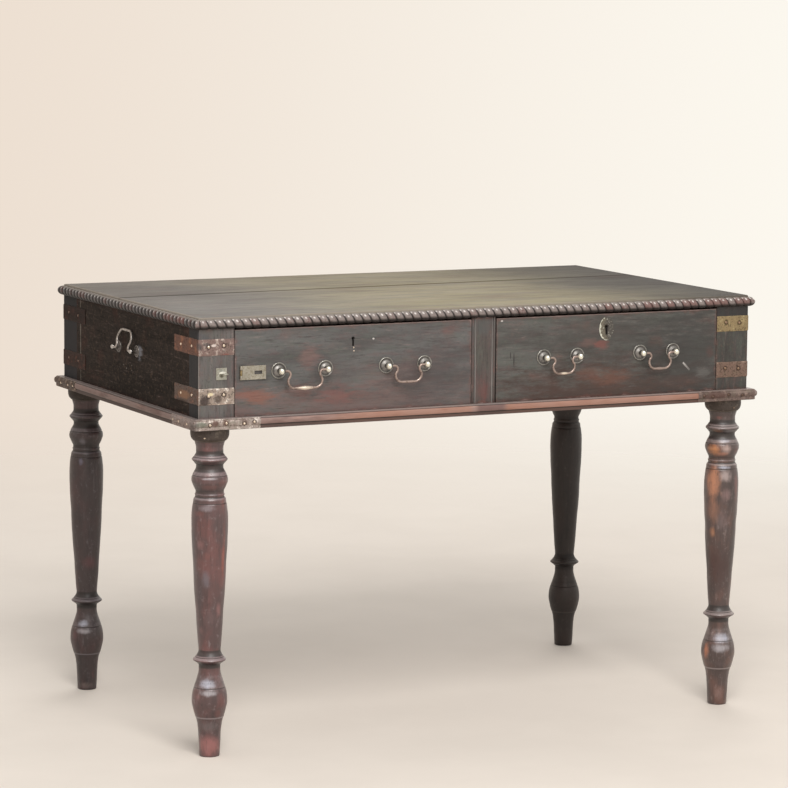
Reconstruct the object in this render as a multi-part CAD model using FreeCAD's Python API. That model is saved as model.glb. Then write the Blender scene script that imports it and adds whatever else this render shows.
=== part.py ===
"""Campaign desk: a shallow two-drawer case on four turned legs that screw into its corner posts.

Millimetres. X runs along the front from left to right, Y from the front to the back, Z up.
The origin is on the floor, under the centre of the case.
"""

import FreeCAD, Part
import math
import os
from FreeCAD import Vector

# ---------------------------------------------------------------- driving dimensions

# Case, measured over its boards without the mouldings
case_length = 1111.0
case_depth = 662.0
desk_height = 780.0
top_thick = 20.0
bay_height = 156.0  # between the base board and the top
base_thick = 20.0
panel_thick = 20.0
panel_lap = 18.0  # how far a panel runs into the rebate of its post
stile_width = 67.4  # face of a corner post on the front and the back
front_post_side = 42.0  # face of a front post on the end of the case
back_post_side = 69.0
muntin_width = 49.0
muntin_bead_r = 3.0
muntin_quirk = 1.0
partition_thick = 20.0
board_joint_left = 45.0  # the joint between the top's two boards, at its ends
board_joint_right = 105.0

# Rope bead round the top, and the moulding round the base
bead_height = 18.0
bead_reach = 9.5
bead_set_down = 3.0  # from the top's upper face to the bead
moulding_reach = 14.0
fillet_reach = 11.0  # the low fillet, under the round
fillet_height = 6.5
cap_height = 2.0  # the thin fillet above the round

# Straps
strap_thick = 1.0
upper_strap_down = 17.5  # from the top's under face down to the upper straps
lower_strap_up = 23.0  # from the base board up to the lower straps
strap_height = 29.5
strap_along_side = 107.0
back_strap_along_side = 115.0
base_strap_along_front = 112.0
base_strap_along_side = 92.0

# Legs. Low members are placed up from the floor, high members down from the leg's head.
# Each bow is how far a swell stands out of, or a hollow sinks into, the straight line along it
leg_in_x = 33.3  # the leg's axis, in from the case's end
leg_in_y = 28.5  # the leg's axis, in from the case's front or back
spigot_r = 14.0
spigot_in_post = 40.0
spigot_clear = 0.3
foot_r = 18.0
ankle_r = 20.8
ankle_up = 50.0
calf_r = 26.0
calf_up = 76.0
bulb_r = 32.3
bulb_up = 104.0
neck_r = 19.3
neck_up = 153.0
low_ring_r = 29.0
low_ring_up = 173.0
low_ring_half = 3.5
vase_foot_r = 18.9
vase_foot_up = 192.0
vase_r = 32.7
vase_down = 159.0
shoulder_r = 29.0
shoulder_down = 128.0
groove_r = 25.5
groove_down = 121.0
under_ball_r = 26.0
under_ball_down = 113.0
ball_r = 32.4
ball_down = 94.0
waist_r = 24.0
waist_down = 69.0
high_ring_r = 32.0
high_ring_down = 54.0
high_ring_half = 3.0
cove_r = 24.5
cove_down = 42.0
cove_lip = 1.5
cove_bow = 1.5
calf_bow = 0.5
shoulder_bow = 1.2
bulb_bow = 2.2
vase_bow = 2.5
ball_bow = 2.8
collar_height = 22.5
collar_high_r = 34.5
collar_low_r = 31.5
collar_wall = 1.5
collar_step = 3.5  # the leg draws in under its collar

# Drawers
drawer_gap_side = 1.2
drawer_gap_top = 3.5
drawer_gap_low = 0.5
drawer_runs_on = 0.3  # between the sides' lower edges and the base board
drawer_gap_back = 40.0
front_thick = 22.0
side_thick = 12.0
side_below_top = 12.0  # from the top's under face down to a drawer side
bottom_thick = 6.0
bottom_up = 12.0  # from a side's lower edge to the bottom's under face
groove_deep = 5.0
groove_clear = 0.1
dovetail_lap = 16.0  # length of a tail let into the drawer front
dovetail_slope = 1 / 6
dovetail_root = 0.3  # half of a tail's width at its shoulder, of the tails' pitch
dovetails_front = 4
dovetails_back = 3
guide_height = 20.0
stop_length = 40.0
stop_depth = 12.0
stop_height = 6.0
stop_clear = 0.3

# Locks
keyhole_off = -3.8  # from the drawer's centre
keyhole_down = 24.0  # from the top of the drawer front to the round of the keyhole
keyhole_r = 3.2
keyhole_slot = 3.6
keyhole_drop = 14.0
lock_width = 64.0
lock_height = 46.0
lock_depth = 12.0
lock_wall = 1.5
bolt_width = 28.0
bolt_height = 15.0
bolt_thick = 6.0
bolt_clear = 0.2
bolt_tail = 9.0
bolt_tail_down = 16.0
mortise_clear = 1.0
mortise_deep = 11.0

# Swan-neck handles
end_handle_rise = 9.5  # from the middle of the bay's height, where the drawers' pivots are
outer_handle_off = 102.5  # a handle's centre from its drawer's centre
inner_handle_off = 99.0
rosette_r = 14.5
rosette_edge = 1.8
rosette_rim_wide = 1.5
rosette_dish_in = 3.0
rosette_dish = 0.9
rosette_hub_r = 6.0
rosette_hub = 2.8
post_neck_r = 3.4
head_r = 6.4
head_out = 14.0  # centre of the ball head, out from the face it stands on
end_rosette_r = 11.0  # the ends' handles are smaller castings
end_head_r = 4.4
end_head_out = 12.0
shank_r = 2.5
shank_clear = 0.05
bail_r = 2.2
pin_clear = 0.05
pin_reach = 10.5  # from the post's axis to where the bail starts to curl
curl_r = 6.0
flare = 4.2
corner_r = 13.0
common_drop = 29.5
large_drop = 31.0
end_drop = 35.5
end_flare = 5.0
end_corner_r = 18.0
large_span = 90.0
left_inner_span = 76.0
right_inner_span = 69.0
right_outer_span = 70.0
end_span = 89.0
common_grip_r = 2.7
large_grip_r = 4.0
bail_rest_clear = 0.3  # between a leaning bail and the panel

# Hasp on the left drawer, and its staple on the left stile
hasp_drop = 1.0  # from the middle of the bay's height down to the hasp
hasp_axis_in = 10.6  # hinge axis, in from the drawer front's end
hasp_axis_out = 2.4  # hinge axis, out from the face
hasp_length = 47.0
hasp_height = 24.5
leaf_thick = 1.5
fixed_leaf_length = 25.0
fixed_leaf_thick = 1.35
knuckle_r = 2.1
knuckle_middle = 9.4
knuckle_gap = 0.3
hasp_pin_r = 1.0
slot_from_axis = 32.4
slot_length = 14.4
slot_height = 6.0
staple_rod_r = 1.5
staple_bend_r = 4.5
staple_out = 12.5  # centre of the rod at the bend, out from the face
staple_in_wood = 14.0
staple_plate_width = 20.0
staple_plate_height = 21.0
staple_plate_past = 6.1  # from the staple's centre to the plate's inner edge

# Keyhole plate on the right drawer
keyplate_width = 30.0
keyplate_height = 43.0
keyplate_thick = 0.8

# ---------------------------------------------------------------- places worked out from them

half_l = case_length / 2
half_d = case_depth / 2
base_z = desk_height - top_thick - bay_height - base_thick
bay_z = base_z + base_thick
bay_middle = bay_z + bay_height / 2
under_top = desk_height - top_thick
leg_x = half_l - leg_in_x
leg_y = half_d - leg_in_y
stile_x = half_l - stile_width
muntin_x = muntin_width / 2
inner_back = half_d - panel_thick
front_back = -half_d + front_thick  # the drawer front's inner face
drawer_half = (stile_x - muntin_x) / 2 - drawer_gap_side
drawer_centre = (stile_x + muntin_x) / 2
drawer_rear = inner_back - drawer_gap_back
front_low = bay_z + drawer_gap_low
front_top = under_top - drawer_gap_top
side_low = bay_z + drawer_runs_on
side_top = under_top - side_below_top
bottom_z = side_low + bottom_up
lock_y = front_back - lock_depth / 2
hinge_x = -(drawer_centre + drawer_half) + hasp_axis_in
hasp_z = bay_middle - hasp_drop
staple_x = hinge_x - slot_from_axis

Z_AXIS = Vector(0, 0, 1)
Y_AXIS = Vector(0, 1, 0)
X_AXIS = Vector(1, 0, 0)


# ---------------------------------------------------------------- helpers


def save(name, *solids):
    """One node: its solid, or its group of separate solids."""
    shape = solids[0] if len(solids) == 1 else Part.makeCompound(list(solids))
    shape.exportStep("parts/" + name + ".step")


def block(x, y, z):
    """A board with its faces square to the axes, from its three (low, high) pairs."""
    size = (x[1] - x[0], y[1] - y[0], z[1] - z[0])
    return Part.makeBox(*size, Vector(x[0], y[0], z[0]))


def rod(radius, start, end):
    """A round bar from one point to another."""
    return Part.makeCylinder(radius, (end - start).Length, start, end - start)


def face(points, at):
    """A flat face. A point's third number is how far the line to it bows to the right."""
    edges = []
    for start, end in zip(points, points[1:] + points[:1]):
        a, b = at(*start[:2]), at(*end[:2])
        if len(end) == 2:
            edges.append(Part.makeLine(a, b))
            continue
        du, dv = end[0] - start[0], end[1] - start[1]
        bow = end[2] / math.hypot(du, dv)
        middle = at((start[0] + end[0]) / 2 + dv * bow, (start[1] + end[1]) / 2 - du * bow)
        edges.append(Part.Arc(a, middle, b).toShape())
    return Part.Face(Part.Wire(edges))


def turned(points):
    """A solid turned about Z, from its half outline as (radius, height) points."""
    outline = face(points, lambda r, z: Vector(r, 0, z))
    return outline.revolve(Vector(0, 0, 0), Z_AXIS, 360)


def mirrored(shape, axis):
    """The same piece on the other side of the desk."""
    return shape.mirror(Vector(0, 0, 0), axis)


def moved(shape, x, y, z):
    """A copy of the shape, moved."""
    copy = shape.copy()
    copy.translate(Vector(x, y, z))
    return copy


def spun(shape, axis, degrees):
    """A copy of the shape, turned about an axis through the origin."""
    copy = shape.copy()
    copy.rotate(Vector(0, 0, 0), axis, degrees)
    return copy


def mitred_length(points, half_along, half_across, reach):
    """One length of moulding on the face at Y = -half_across, mitred at both ends."""
    profile = face(points, lambda u, z: Vector(-half_along - reach, -half_across - u, z))
    length = profile.extrude(Vector(2 * (half_along + reach), 0, 0))
    plan = [
        (-half_along, -half_across),
        (half_along, -half_across),
        (half_along + reach, -half_across - reach),
        (-half_along - reach, -half_across - reach),
    ]
    prism = face(plan, lambda x, y: Vector(x, y, 0)).extrude(Vector(0, 0, desk_height + reach))
    return length.common(prism).Solids[0]


def mitred_ring(points, reach):
    """The four mitred lengths round the case, by side."""
    front = mitred_length(points, half_l, half_d, reach)
    left = spun(mitred_length(points, half_d, half_l, reach), Z_AXIS, -90)
    return {
        "front": front,
        "back": mirrored(front, Y_AXIS),
        "left": left,
        "right": mirrored(left, X_AXIS),
    }


def four_corners(piece, back_piece=None):
    """Copies of a front left piece at the four corners, by corner."""
    back_left = mirrored(back_piece or piece, Y_AXIS)
    return {
        "front_left": piece,
        "front_right": mirrored(piece, X_AXIS),
        "back_left": back_left,
        "back_right": mirrored(back_left, X_AXIS),
    }


# ---------------------------------------------------------------- top


def bolt_mortise(x):
    """The pocket in the top's under face that a lock's bolt rises into."""
    half = bolt_width / 2 + mortise_clear
    deep = bolt_thick / 2 + mortise_clear
    z = (under_top, under_top + mortise_deep)
    return block((x - half, x + half), (lock_y - deep, lock_y + deep), z)


def top_boards():
    """Two boards with a joint that runs a little out of square, as hand-sawn boards do."""
    joint = [(-half_l, board_joint_left), (half_l, board_joint_right)]
    rise = Vector(0, 0, top_thick)
    front = [(-half_l, -half_d), (half_l, -half_d)] + joint[::-1]
    back = joint + [(half_l, half_d), (-half_l, half_d)]
    at = lambda x, y: Vector(x, y, under_top)
    front_board = face(front, at).extrude(rise)
    for side in (-1, 1):
        front_board = front_board.cut(bolt_mortise(side * drawer_centre + keyhole_off))
    return front_board, face(back, at).extrude(rise)


def rope_beads():
    """The half-round bead that is glued round the top's edge and carved as a rope."""
    high = desk_height - bead_set_down
    return mitred_ring([(0, high - bead_height), (0, high, bead_reach)], bead_reach)


# ---------------------------------------------------------------- case


def corner_post(side_face, back):
    """A corner post, rebated for the end panel and, at the back, for the back panel too."""
    y = (-half_d, -half_d + side_face + panel_lap)
    post = block((-half_l, -stile_x), y, (bay_z, under_top))
    rebate_y = (-half_d + side_face, y[1])
    post = post.cut(block((-half_l, -half_l + panel_thick), rebate_y, (bay_z, under_top)))
    if back:
        rebate_x = (-stile_x - panel_lap, -stile_x)
        post = post.cut(block(rebate_x, (-half_d, -half_d + panel_thick), (bay_z, under_top)))
    return post.cut(spigot(spigot_clear))


def end_panel():
    """The left end panel, from one post's rebate to the other's, bored for its handle."""
    y = (-half_d + front_post_side, half_d - back_post_side)
    panel = block((-half_l, -half_l + panel_thick), y, (bay_z, under_top))
    for hole in shank_holes(end_span, panel_thick):
        panel = panel.cut(on_left_end(hole))
    return panel


def centre_muntin():
    """The upright between the drawer fronts, with a bead run down each edge."""
    bead = 2 * muntin_bead_r
    inner = muntin_x - bead
    shelf = -half_d + muntin_bead_r
    right = [
        (inner - muntin_quirk, -half_d),
        (inner - muntin_quirk, shelf),
        (inner, shelf),
        (muntin_x, shelf, muntin_bead_r),
        (muntin_x, front_back),
    ]
    left = [(-x, y) for x, y in (p[:2] for p in right[::-1])]
    left[2] = left[2] + (muntin_bead_r,)
    return face(right + left, lambda x, y: Vector(x, y, bay_z)).extrude(Vector(0, 0, bay_height))


def base_board():
    """The board that the drawers run on, bored for the legs' spigots."""
    board = block((-half_l, half_l), (-half_d, half_d), (base_z, bay_z))
    for hole in four_corners(spigot(spigot_clear)).values():
        board = board.cut(hole)
    return board


def moulding_outline(grow):
    """Section of the base moulding: low fillet, round, and thin cap. grow thickens its face."""
    low, high = base_z + fillet_height, bay_z - cap_height
    flat = fillet_reach + grow
    round_out = moulding_reach - fillet_reach
    return [(0, base_z), (0, bay_z), (flat, bay_z), (flat, high), (flat, low, -round_out), (flat, base_z)]


def drawer_guides():
    """Strips beside each drawer's foot that keep it straight, two outer and two inner."""
    z = (bay_z, bay_z + guide_height)
    outer_y = (-half_d + front_post_side + panel_lap, half_d - back_post_side - panel_lap)
    outer = block((-half_l + panel_thick, -stile_x), outer_y, z)
    inner = block((-muntin_x, -partition_thick / 2), (front_back, inner_back), z)
    return [outer, inner, mirrored(inner, X_AXIS), mirrored(outer, X_AXIS)]


def drawer_stops():
    """Blocks on the base board that the drawer fronts shut against, two for each drawer."""
    y = (front_back + stop_clear, front_back + stop_clear + stop_depth)
    z = (bay_z, bay_z + stop_height)
    half = stop_length / 2
    stops = []
    for centre in (-drawer_centre, drawer_centre):
        for x in (centre - drawer_half / 2, centre + drawer_half / 2):
            stops.append(block((x - half, x + half), y, z))
    return stops


# ---------------------------------------------------------------- straps


def corner_strap(low, along_side):
    """A flat strap folded round the front left corner of the case."""
    z = (low, low + strap_height)
    corner_x = (-half_l - strap_thick, -half_l)
    front = block((corner_x[0], -stile_x), (-half_d - strap_thick, -half_d), z)
    side = block(corner_x, (-half_d - strap_thick, -half_d + along_side), z)
    return front.fuse(side).removeSplitter().Solids[0]


def base_strap():
    """A strap hammered round the moulding at the front left corner."""
    grown = mitred_ring(moulding_outline(strap_thick), moulding_reach + strap_thick)
    plain = mitred_ring(moulding_outline(0), moulding_reach + strap_thick)
    x, y, z = (-2 * half_l, -half_l + base_strap_along_front), (-2 * half_d, -half_d), (0, desk_height)
    front = grown["front"].cut(plain["front"]).common(block(x, y, z))
    x, y = (-2 * half_l, -half_l), (-2 * half_d, -half_d + base_strap_along_side)
    side = grown["left"].cut(plain["left"]).common(block(x, y, z))
    return front.fuse(side).removeSplitter().Solids[0]


# ---------------------------------------------------------------- legs


def spigot(clear):
    """The front left leg's spigot, or with clearance the hole for it."""
    start = Vector(-leg_x, -leg_y, base_z)
    return rod(spigot_r + clear, start, start + Vector(0, 0, base_thick + spigot_in_post + clear))


def leg():
    """A turned leg: foot, bulb, ring, long vase, ball, ring, and the head under its collar."""
    head = base_z
    under_collar = head - collar_height
    core_high, core_low = collar_high_r - collar_wall, collar_low_r - collar_wall
    drawn_in = collar_low_r - collar_step
    points = [
        (0, 0),
        (foot_r, 0),
        (ankle_r, ankle_up),
        (calf_r, calf_up, -calf_bow),
        (bulb_r, bulb_up, shoulder_bow),
        (neck_r, neck_up, bulb_bow),
        (low_ring_r, low_ring_up - low_ring_half, -cove_bow),
        (low_ring_r, low_ring_up + low_ring_half),
        (vase_foot_r, vase_foot_up, -cove_bow),
        (vase_r, head - vase_down, vase_bow),
        (shoulder_r, head - shoulder_down, shoulder_bow),
        (groove_r, head - groove_down),
        (under_ball_r, head - under_ball_down),
        (ball_r, head - ball_down, ball_bow),
        (waist_r, head - waist_down, ball_bow),
        (high_ring_r, head - high_ring_down - high_ring_half, -cove_bow),
        (high_ring_r, head - high_ring_down + high_ring_half),
        (cove_r, head - cove_down, -cove_bow),
        (drawn_in, under_collar - cove_lip, -cove_bow),
        (core_low, under_collar),
        (core_high, head),
        (0, head),
    ]
    return moved(turned(points), -leg_x, -leg_y, 0).fuse(spigot(0)).removeSplitter().Solids[0]


def leg_collar():
    """The thin metal collar round a leg's head."""
    low, high = base_z - collar_height, base_z
    points = [
        (collar_low_r - collar_wall, low),
        (collar_low_r, low),
        (collar_high_r, high),
        (collar_high_r - collar_wall, high),
    ]
    return moved(turned(points), -leg_x, -leg_y, 0)


# ---------------------------------------------------------------- swan-neck handles
# A handle is made on the plane Y = 0, facing -Y, with its pivot line on X.


def handle_post(depth, disc_r, knob_r, out):
    """Shank, rosette, neck and ball head in one casting, its socket for the bail facing +X."""
    points = [
        (0, -depth),
        (shank_r, -depth),
        (shank_r, 0),
        (disc_r, 0),
        (disc_r, rosette_edge),
        (disc_r - rosette_rim_wide, rosette_edge),
        (disc_r - rosette_dish_in, rosette_dish),
        (rosette_hub_r, rosette_dish),
        (rosette_hub_r, rosette_hub),
        (post_neck_r, rosette_hub),
        (post_neck_r, out),
        (0, out),
    ]
    post = turned(points).fuse(Part.makeSphere(knob_r, Vector(0, 0, out)))
    post = spun(post, X_AXIS, 90)
    socket_end = Vector(pin_reach, -out, 0)
    return post.cut(rod(bail_r + pin_clear, Vector(0, -out, 0), socket_end))


def handle_posts(span, depth, disc_r, knob_r, out):
    """A handle's two posts, their sockets facing each other."""
    left = moved(handle_post(depth, disc_r, knob_r, out).Solids[0], -span / 2, 0, 0)
    return [left, mirrored(left, X_AXIS)]


def shank_holes(span, depth):
    """The holes for a handle's two shanks."""
    return [
        rod(shank_r + shank_clear, Vector(x, 0, 0), Vector(x, depth, 0)) for x in (-span / 2, span / 2)
    ]


def bail_ring(x, radius):
    """The bail's round section, square to X."""
    return Part.Face(Part.Wire(Part.makeCircle(radius, Vector(x, 0, 0), X_AXIS)))


def bent(section, centre_x, centre_z, degrees):
    """A bend of the bail, and the section at its far end."""
    centre = Vector(centre_x, 0, centre_z)
    bend = section.revolve(centre, Y_AXIS, degrees)
    section = section.copy()
    section.rotate(centre, Y_AXIS, degrees)
    return bend, section


def bail(span, drop, grip_r, spread, round_r):
    """A swan-neck bail hanging from its pins: curl, spread, rounded corner, and a grip that swells."""
    fall = drop - curl_r - round_r
    turn = 2 * math.atan(spread / fall)
    flare_r = fall / (2 * math.sin(turn))
    degrees = math.degrees(turn)
    start = span / 2 - pin_reach
    neck = start - curl_r
    corner = neck + spread
    pieces = [rod(bail_r, Vector(start, 0, 0), Vector(span / 2 - pin_clear, 0, 0))]
    section = bail_ring(start, bail_r)
    bends = (
        (start, -curl_r, -90),
        (neck + flare_r, -curl_r, -degrees),
        (corner - flare_r, -curl_r - fall, degrees),
        (corner - round_r, -drop + round_r, 90),
    )
    for bend in bends:
        piece, section = bent(section, *bend)
        pieces.append(piece)
    half = pieces[0].multiFuse(pieces[1:])
    grip_end = corner - round_r
    rings = [bail_ring(grip_end, bail_r), bail_ring(0, grip_r), bail_ring(-grip_end, bail_r)]
    grip = moved(Part.makeLoft([ring.Wires[0] for ring in rings], True, True), 0, 0, -drop)
    return half.multiFuse([grip, mirrored(half, X_AXIS)]).removeSplitter().Solids[0]


def lean_angle(drop, grip_r, out):
    """How far a bail swings in from upright before its grip meets the face behind it."""
    return math.degrees(math.asin((out - grip_r - bail_rest_clear) / drop))


def on_drawer(shape, x):
    """A handle's piece, carried to the drawer fronts."""
    return moved(shape, x, -half_d, bay_middle)


def on_left_end(shape):
    """A handle's piece, carried to the left end of the case."""
    return moved(spun(shape, Z_AXIS, -90), -half_l, 0, bay_middle + end_handle_rise)


def end_bail(leaning_up):
    """An end's bail, thrown up against the panel or hanging."""
    piece = bail(end_span, end_drop, common_grip_r, end_flare, end_corner_r)
    if leaning_up:
        piece = spun(piece, X_AXIS, -180 - lean_angle(end_drop, common_grip_r, end_head_out))
    return on_left_end(moved(piece, 0, -end_head_out, 0))


# ---------------------------------------------------------------- drawers


def tails(x, low, high, count, shoulder, length):
    """Dovetails on the end of a drawer side, widening from its shoulder."""
    pitch = (high - low) / count
    root = pitch * dovetail_root
    tip = root + abs(length) * dovetail_slope
    solids = []
    for i in range(count):
        z = low + pitch * (i + 0.5)
        points = [
            (shoulder, z - root),
            (shoulder + length, z - tip),
            (shoulder + length, z + tip),
            (shoulder, z + root),
        ]
        outline = face(points, lambda y, height: Vector(x[0], y, height))
        solids.append(outline.extrude(Vector(x[1] - x[0], 0, 0)))
    return solids


def keyhole(x, depth):
    """The round and slot of a keyhole, bored back from the drawer's face."""
    z = front_top - keyhole_down
    hole = rod(keyhole_r, Vector(x, -half_d - 1, z), Vector(x, -half_d + depth, z))
    half = keyhole_slot / 2
    return hole.fuse(block((x - half, x + half), (-half_d - 1, -half_d + depth), (z - keyhole_drop, z)))


def lock_room(x):
    """The pocket in the back of a drawer front that holds the lock."""
    half = lock_width / 2
    z = (front_top - lock_height, front_top)
    return block((x - half, x + half), (front_back - lock_depth, front_back), z)


def lock_bolt(x, grow):
    """The bolt and its tail, or with grow the space that it slides in."""
    half, deep = bolt_width / 2 + grow, bolt_thick / 2 + grow
    y = (lock_y - deep, lock_y + deep)
    low = front_top - bolt_height
    body = block((x - half, x + half), y, (low, front_top))
    tail = block((x + half - bolt_tail, x + half), y, (low - bolt_tail_down, front_top))
    return body.fuse(tail).removeSplitter().Solids[0]


def lock_case(x):
    """The iron case: a box closed all round but for the bolt's slot and the keyhole."""
    half = lock_width / 2 - lock_wall
    y = (front_back - lock_depth + lock_wall, front_back - lock_wall)
    z = (front_top - lock_height + lock_wall, front_top - lock_wall)
    case = lock_room(x).cut(block((x - half, x + half), y, z))
    return case.cut(lock_bolt(x, bolt_clear)).cut(keyhole(x, front_thick - lock_depth + 2 * lock_wall))


def drawer(side, handles):
    """A drawer's boards by name. side is -1 for the left drawer and 1 for the right."""
    centre = side * drawer_centre
    ends = (centre - drawer_half, centre + drawer_half)
    sides_x = {
        "side_left": (ends[0], ends[0] + side_thick),
        "side_right": (ends[1] - side_thick, ends[1]),
    }
    inner = (ends[0] + side_thick, ends[1] - side_thick)
    groove_z = (bottom_z - groove_clear, bottom_z + bottom_thick + groove_clear)
    groove_x = (inner[0] - groove_deep, inner[1] + groove_deep)
    groove = block(groove_x, (front_back - groove_deep, drawer_rear), groove_z)
    back_y = (drawer_rear - side_thick, drawer_rear)
    back_low = groove_z[1]
    front = block(ends, (-half_d, front_back), (front_low, front_top))
    back = block(ends, back_y, (back_low, side_top))
    boards = {}
    for name, x in sides_x.items():
        front_tails = tails(x, side_low, side_top, dovetails_front, front_back, -dovetail_lap)
        back_tails = tails(x, back_low, side_top, dovetails_back, back_y[0], side_thick)
        for tail in front_tails:
            front = front.cut(tail)
        for tail in back_tails:
            back = back.cut(tail)
        board = block(x, (front_back, drawer_rear), (side_low, side_top)).multiFuse(front_tails)
        boards[name] = board.removeSplitter()
    for name in sides_x:
        boards[name] = boards[name].cut(back).cut(groove).Solids[0]
    x = centre + keyhole_off
    front = front.cut(groove).cut(lock_room(x)).cut(keyhole(x, front_thick))
    for off, span in handles:
        for hole in shank_holes(span, front_thick):
            front = front.cut(on_drawer(hole, centre + off))
    boards["front"] = front.Solids[0]
    boards["back"] = back.Solids[0]
    tongue = groove_deep - groove_clear
    boards["bottom"] = block(
        (inner[0] - tongue, inner[1] + tongue),
        (front_back - tongue, drawer_rear),
        (bottom_z, bottom_z + bottom_thick),
    )
    boards["lock_case"] = lock_case(x).Solids[0]
    return boards


# ---------------------------------------------------------------- hasp, staple and keyhole plate


def out(*distances):
    """Distances out from the case's front, as a (low, high) pair in Y."""
    return tuple(sorted(-half_d - d for d in distances))


def barrel(radius, low, high):
    """A round length on the hasp's hinge axis, between two heights about its middle."""
    y = out(hasp_axis_out)[0]
    return rod(radius, Vector(hinge_x, y, hasp_z + low), Vector(hinge_x, y, hasp_z + high))


def hasp_leaf():
    """The hinged leaf as it lies open on the drawer, with its slot and its two knuckles."""
    half, room = hasp_height / 2, knuckle_middle / 2 + knuckle_gap
    y = out(hasp_axis_out - leaf_thick / 2, hasp_axis_out + leaf_thick / 2)
    slot_x = hinge_x + slot_from_axis
    slot = (slot_x - slot_length / 2, slot_x + slot_length / 2)
    middle = (hinge_x - knuckle_r, hinge_x + knuckle_r + knuckle_gap)
    leaf = block((hinge_x, hinge_x + hasp_length), y, (hasp_z - half, hasp_z + half))
    leaf = leaf.multiFuse([barrel(knuckle_r, -half, -room), barrel(knuckle_r, room, half)])
    leaf = leaf.cut(block(middle, out(0, 2 * hasp_axis_out), (hasp_z - room, hasp_z + room)))
    leaf = leaf.cut(block(slot, y, (hasp_z - slot_height / 2, hasp_z + slot_height / 2)))
    return leaf.cut(barrel(hasp_pin_r + pin_clear, -half, half)).removeSplitter().Solids[0]


def hasp_fixed_leaf():
    """The leaf that is nailed to the drawer under the hinged one, with the middle knuckle."""
    half, mid = hasp_height / 2, knuckle_middle / 2
    clear_x = hinge_x + knuckle_r + knuckle_gap
    y = out(0, fixed_leaf_thick)
    plate = block((clear_x, hinge_x + fixed_leaf_length), y, (hasp_z - half, hasp_z + half))
    tongue = block((hinge_x, clear_x), y, (hasp_z - mid, hasp_z + mid))
    fixed = plate.multiFuse([tongue, barrel(knuckle_r, -mid, mid)])
    return fixed.cut(barrel(hasp_pin_r + pin_clear, -mid, mid)).removeSplitter().Solids[0]


def staple():
    """A U of round rod, driven through its plate into the stile."""
    bend_centre = Vector(staple_x, out(staple_out - staple_bend_r)[0], hasp_z)
    inner = Vector(0, staple_out - staple_bend_r + staple_in_wood, 0)
    starts = [bend_centre + Vector(x, 0, 0) for x in (-staple_bend_r, staple_bend_r)]
    section = Part.Face(Part.Wire(Part.makeCircle(staple_rod_r, starts[1], Y_AXIS)))
    bend = section.revolve(bend_centre, Z_AXIS, -180)
    legs = [rod(staple_rod_r, start, start + inner) for start in starts]
    return bend.multiFuse(legs).removeSplitter().Solids[0]


def staple_plate():
    """The plate under the staple."""
    inner = staple_x + staple_plate_past
    z = (hasp_z - staple_plate_height / 2, hasp_z + staple_plate_height / 2)
    return block((inner - staple_plate_width, inner), out(0, fixed_leaf_thick), z)


def keyhole_plate(x):
    """The oval brass plate round the right keyhole."""
    z = front_top - keyhole_down - keyhole_drop / 4
    ring = Part.Ellipse(Vector(0, 0, 0), keyplate_height / 2, keyplate_width / 2).toShape()
    plate = Part.Face(Part.Wire(ring)).extrude(Vector(0, 0, keyplate_thick))
    plate = spun(spun(plate, Z_AXIS, 90), X_AXIS, 90)
    return moved(plate, x, -half_d, z).cut(keyhole(x, 0))


# ---------------------------------------------------------------- the whole desk


def build_case():
    """The nodes of the case and its legs."""
    front_board, back_board = top_boards()
    save("top_board_front", front_board)
    save("top_board_back", back_board)
    for side, length in rope_beads().items():
        save("rope_bead_" + side, length)
    for side, length in mitred_ring(moulding_outline(0), moulding_reach).items():
        save("base_moulding_" + side, length)
    posts = four_corners(corner_post(front_post_side, False), corner_post(back_post_side, True))
    posts["front_left"] = posts["front_left"].cut(staple())
    for corner, post in posts.items():
        save("corner_post_" + corner, post.Solids[0])
    save("side_panel_left", end_panel())
    save("side_panel_right", mirrored(end_panel(), X_AXIS))
    back_x = stile_x + panel_lap
    save("back_panel", block((-back_x, back_x), (inner_back, half_d), (bay_z, under_top)))
    save("centre_muntin", centre_muntin())
    half = partition_thick / 2
    save("centre_partition", block((-half, half), (front_back, inner_back), (bay_z, under_top)))
    save("base_board", base_board())
    save("drawer_guides", *drawer_guides())
    save("drawer_stops", *drawer_stops())
    lower_edges = {"upper": under_top - upper_strap_down - strap_height, "lower": bay_z + lower_strap_up}
    for name, low in lower_edges.items():
        front_strap = corner_strap(low, strap_along_side)
        back_strap = corner_strap(low, back_strap_along_side)
        save("corner_straps_" + name, *four_corners(front_strap, back_strap).values())
    save("base_straps", *four_corners(base_strap()).values())
    for corner, piece in four_corners(leg()).items():
        save("leg_" + corner, piece)
    save("leg_collars", *four_corners(leg_collar()).values())
    save("hasp_staple_plate", staple_plate().cut(staple()).Solids[0])
    save("hasp_staple", staple())
    end_posts = handle_posts(end_span, panel_thick, end_rosette_r, end_head_r, end_head_out)
    end_posts = [on_left_end(post) for post in end_posts]
    save("end_handle_posts_left", *end_posts)
    save("end_handle_posts_right", *[mirrored(post, X_AXIS) for post in end_posts])
    save("end_bail_left", end_bail(True))
    save("end_bail_right", mirrored(end_bail(False), X_AXIS))


def build_drawer(name, side, handles):
    """The nodes of one drawer. handles gives each handle's name, offset, span, drop and grip."""
    centre = side * drawer_centre
    for board, solid in drawer(side, [handle[1:3] for handle in handles]).items():
        save("drawer_" + name + "_" + board, solid)
    save("drawer_" + name + "_lock_bolt", lock_bolt(centre + keyhole_off, 0))
    posts = []
    for handle, off, span, drop, grip_r in handles:
        pair = handle_posts(span, front_thick, rosette_r, head_r, head_out)
        posts += [on_drawer(post, centre + off) for post in pair]
        hanging = moved(bail(span, drop, grip_r, flare, corner_r), 0, -head_out, 0)
        save("drawer_" + name + "_bail_" + handle, on_drawer(hanging, centre + off))
    save("drawer_" + name + "_handle_posts", *posts)


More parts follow.
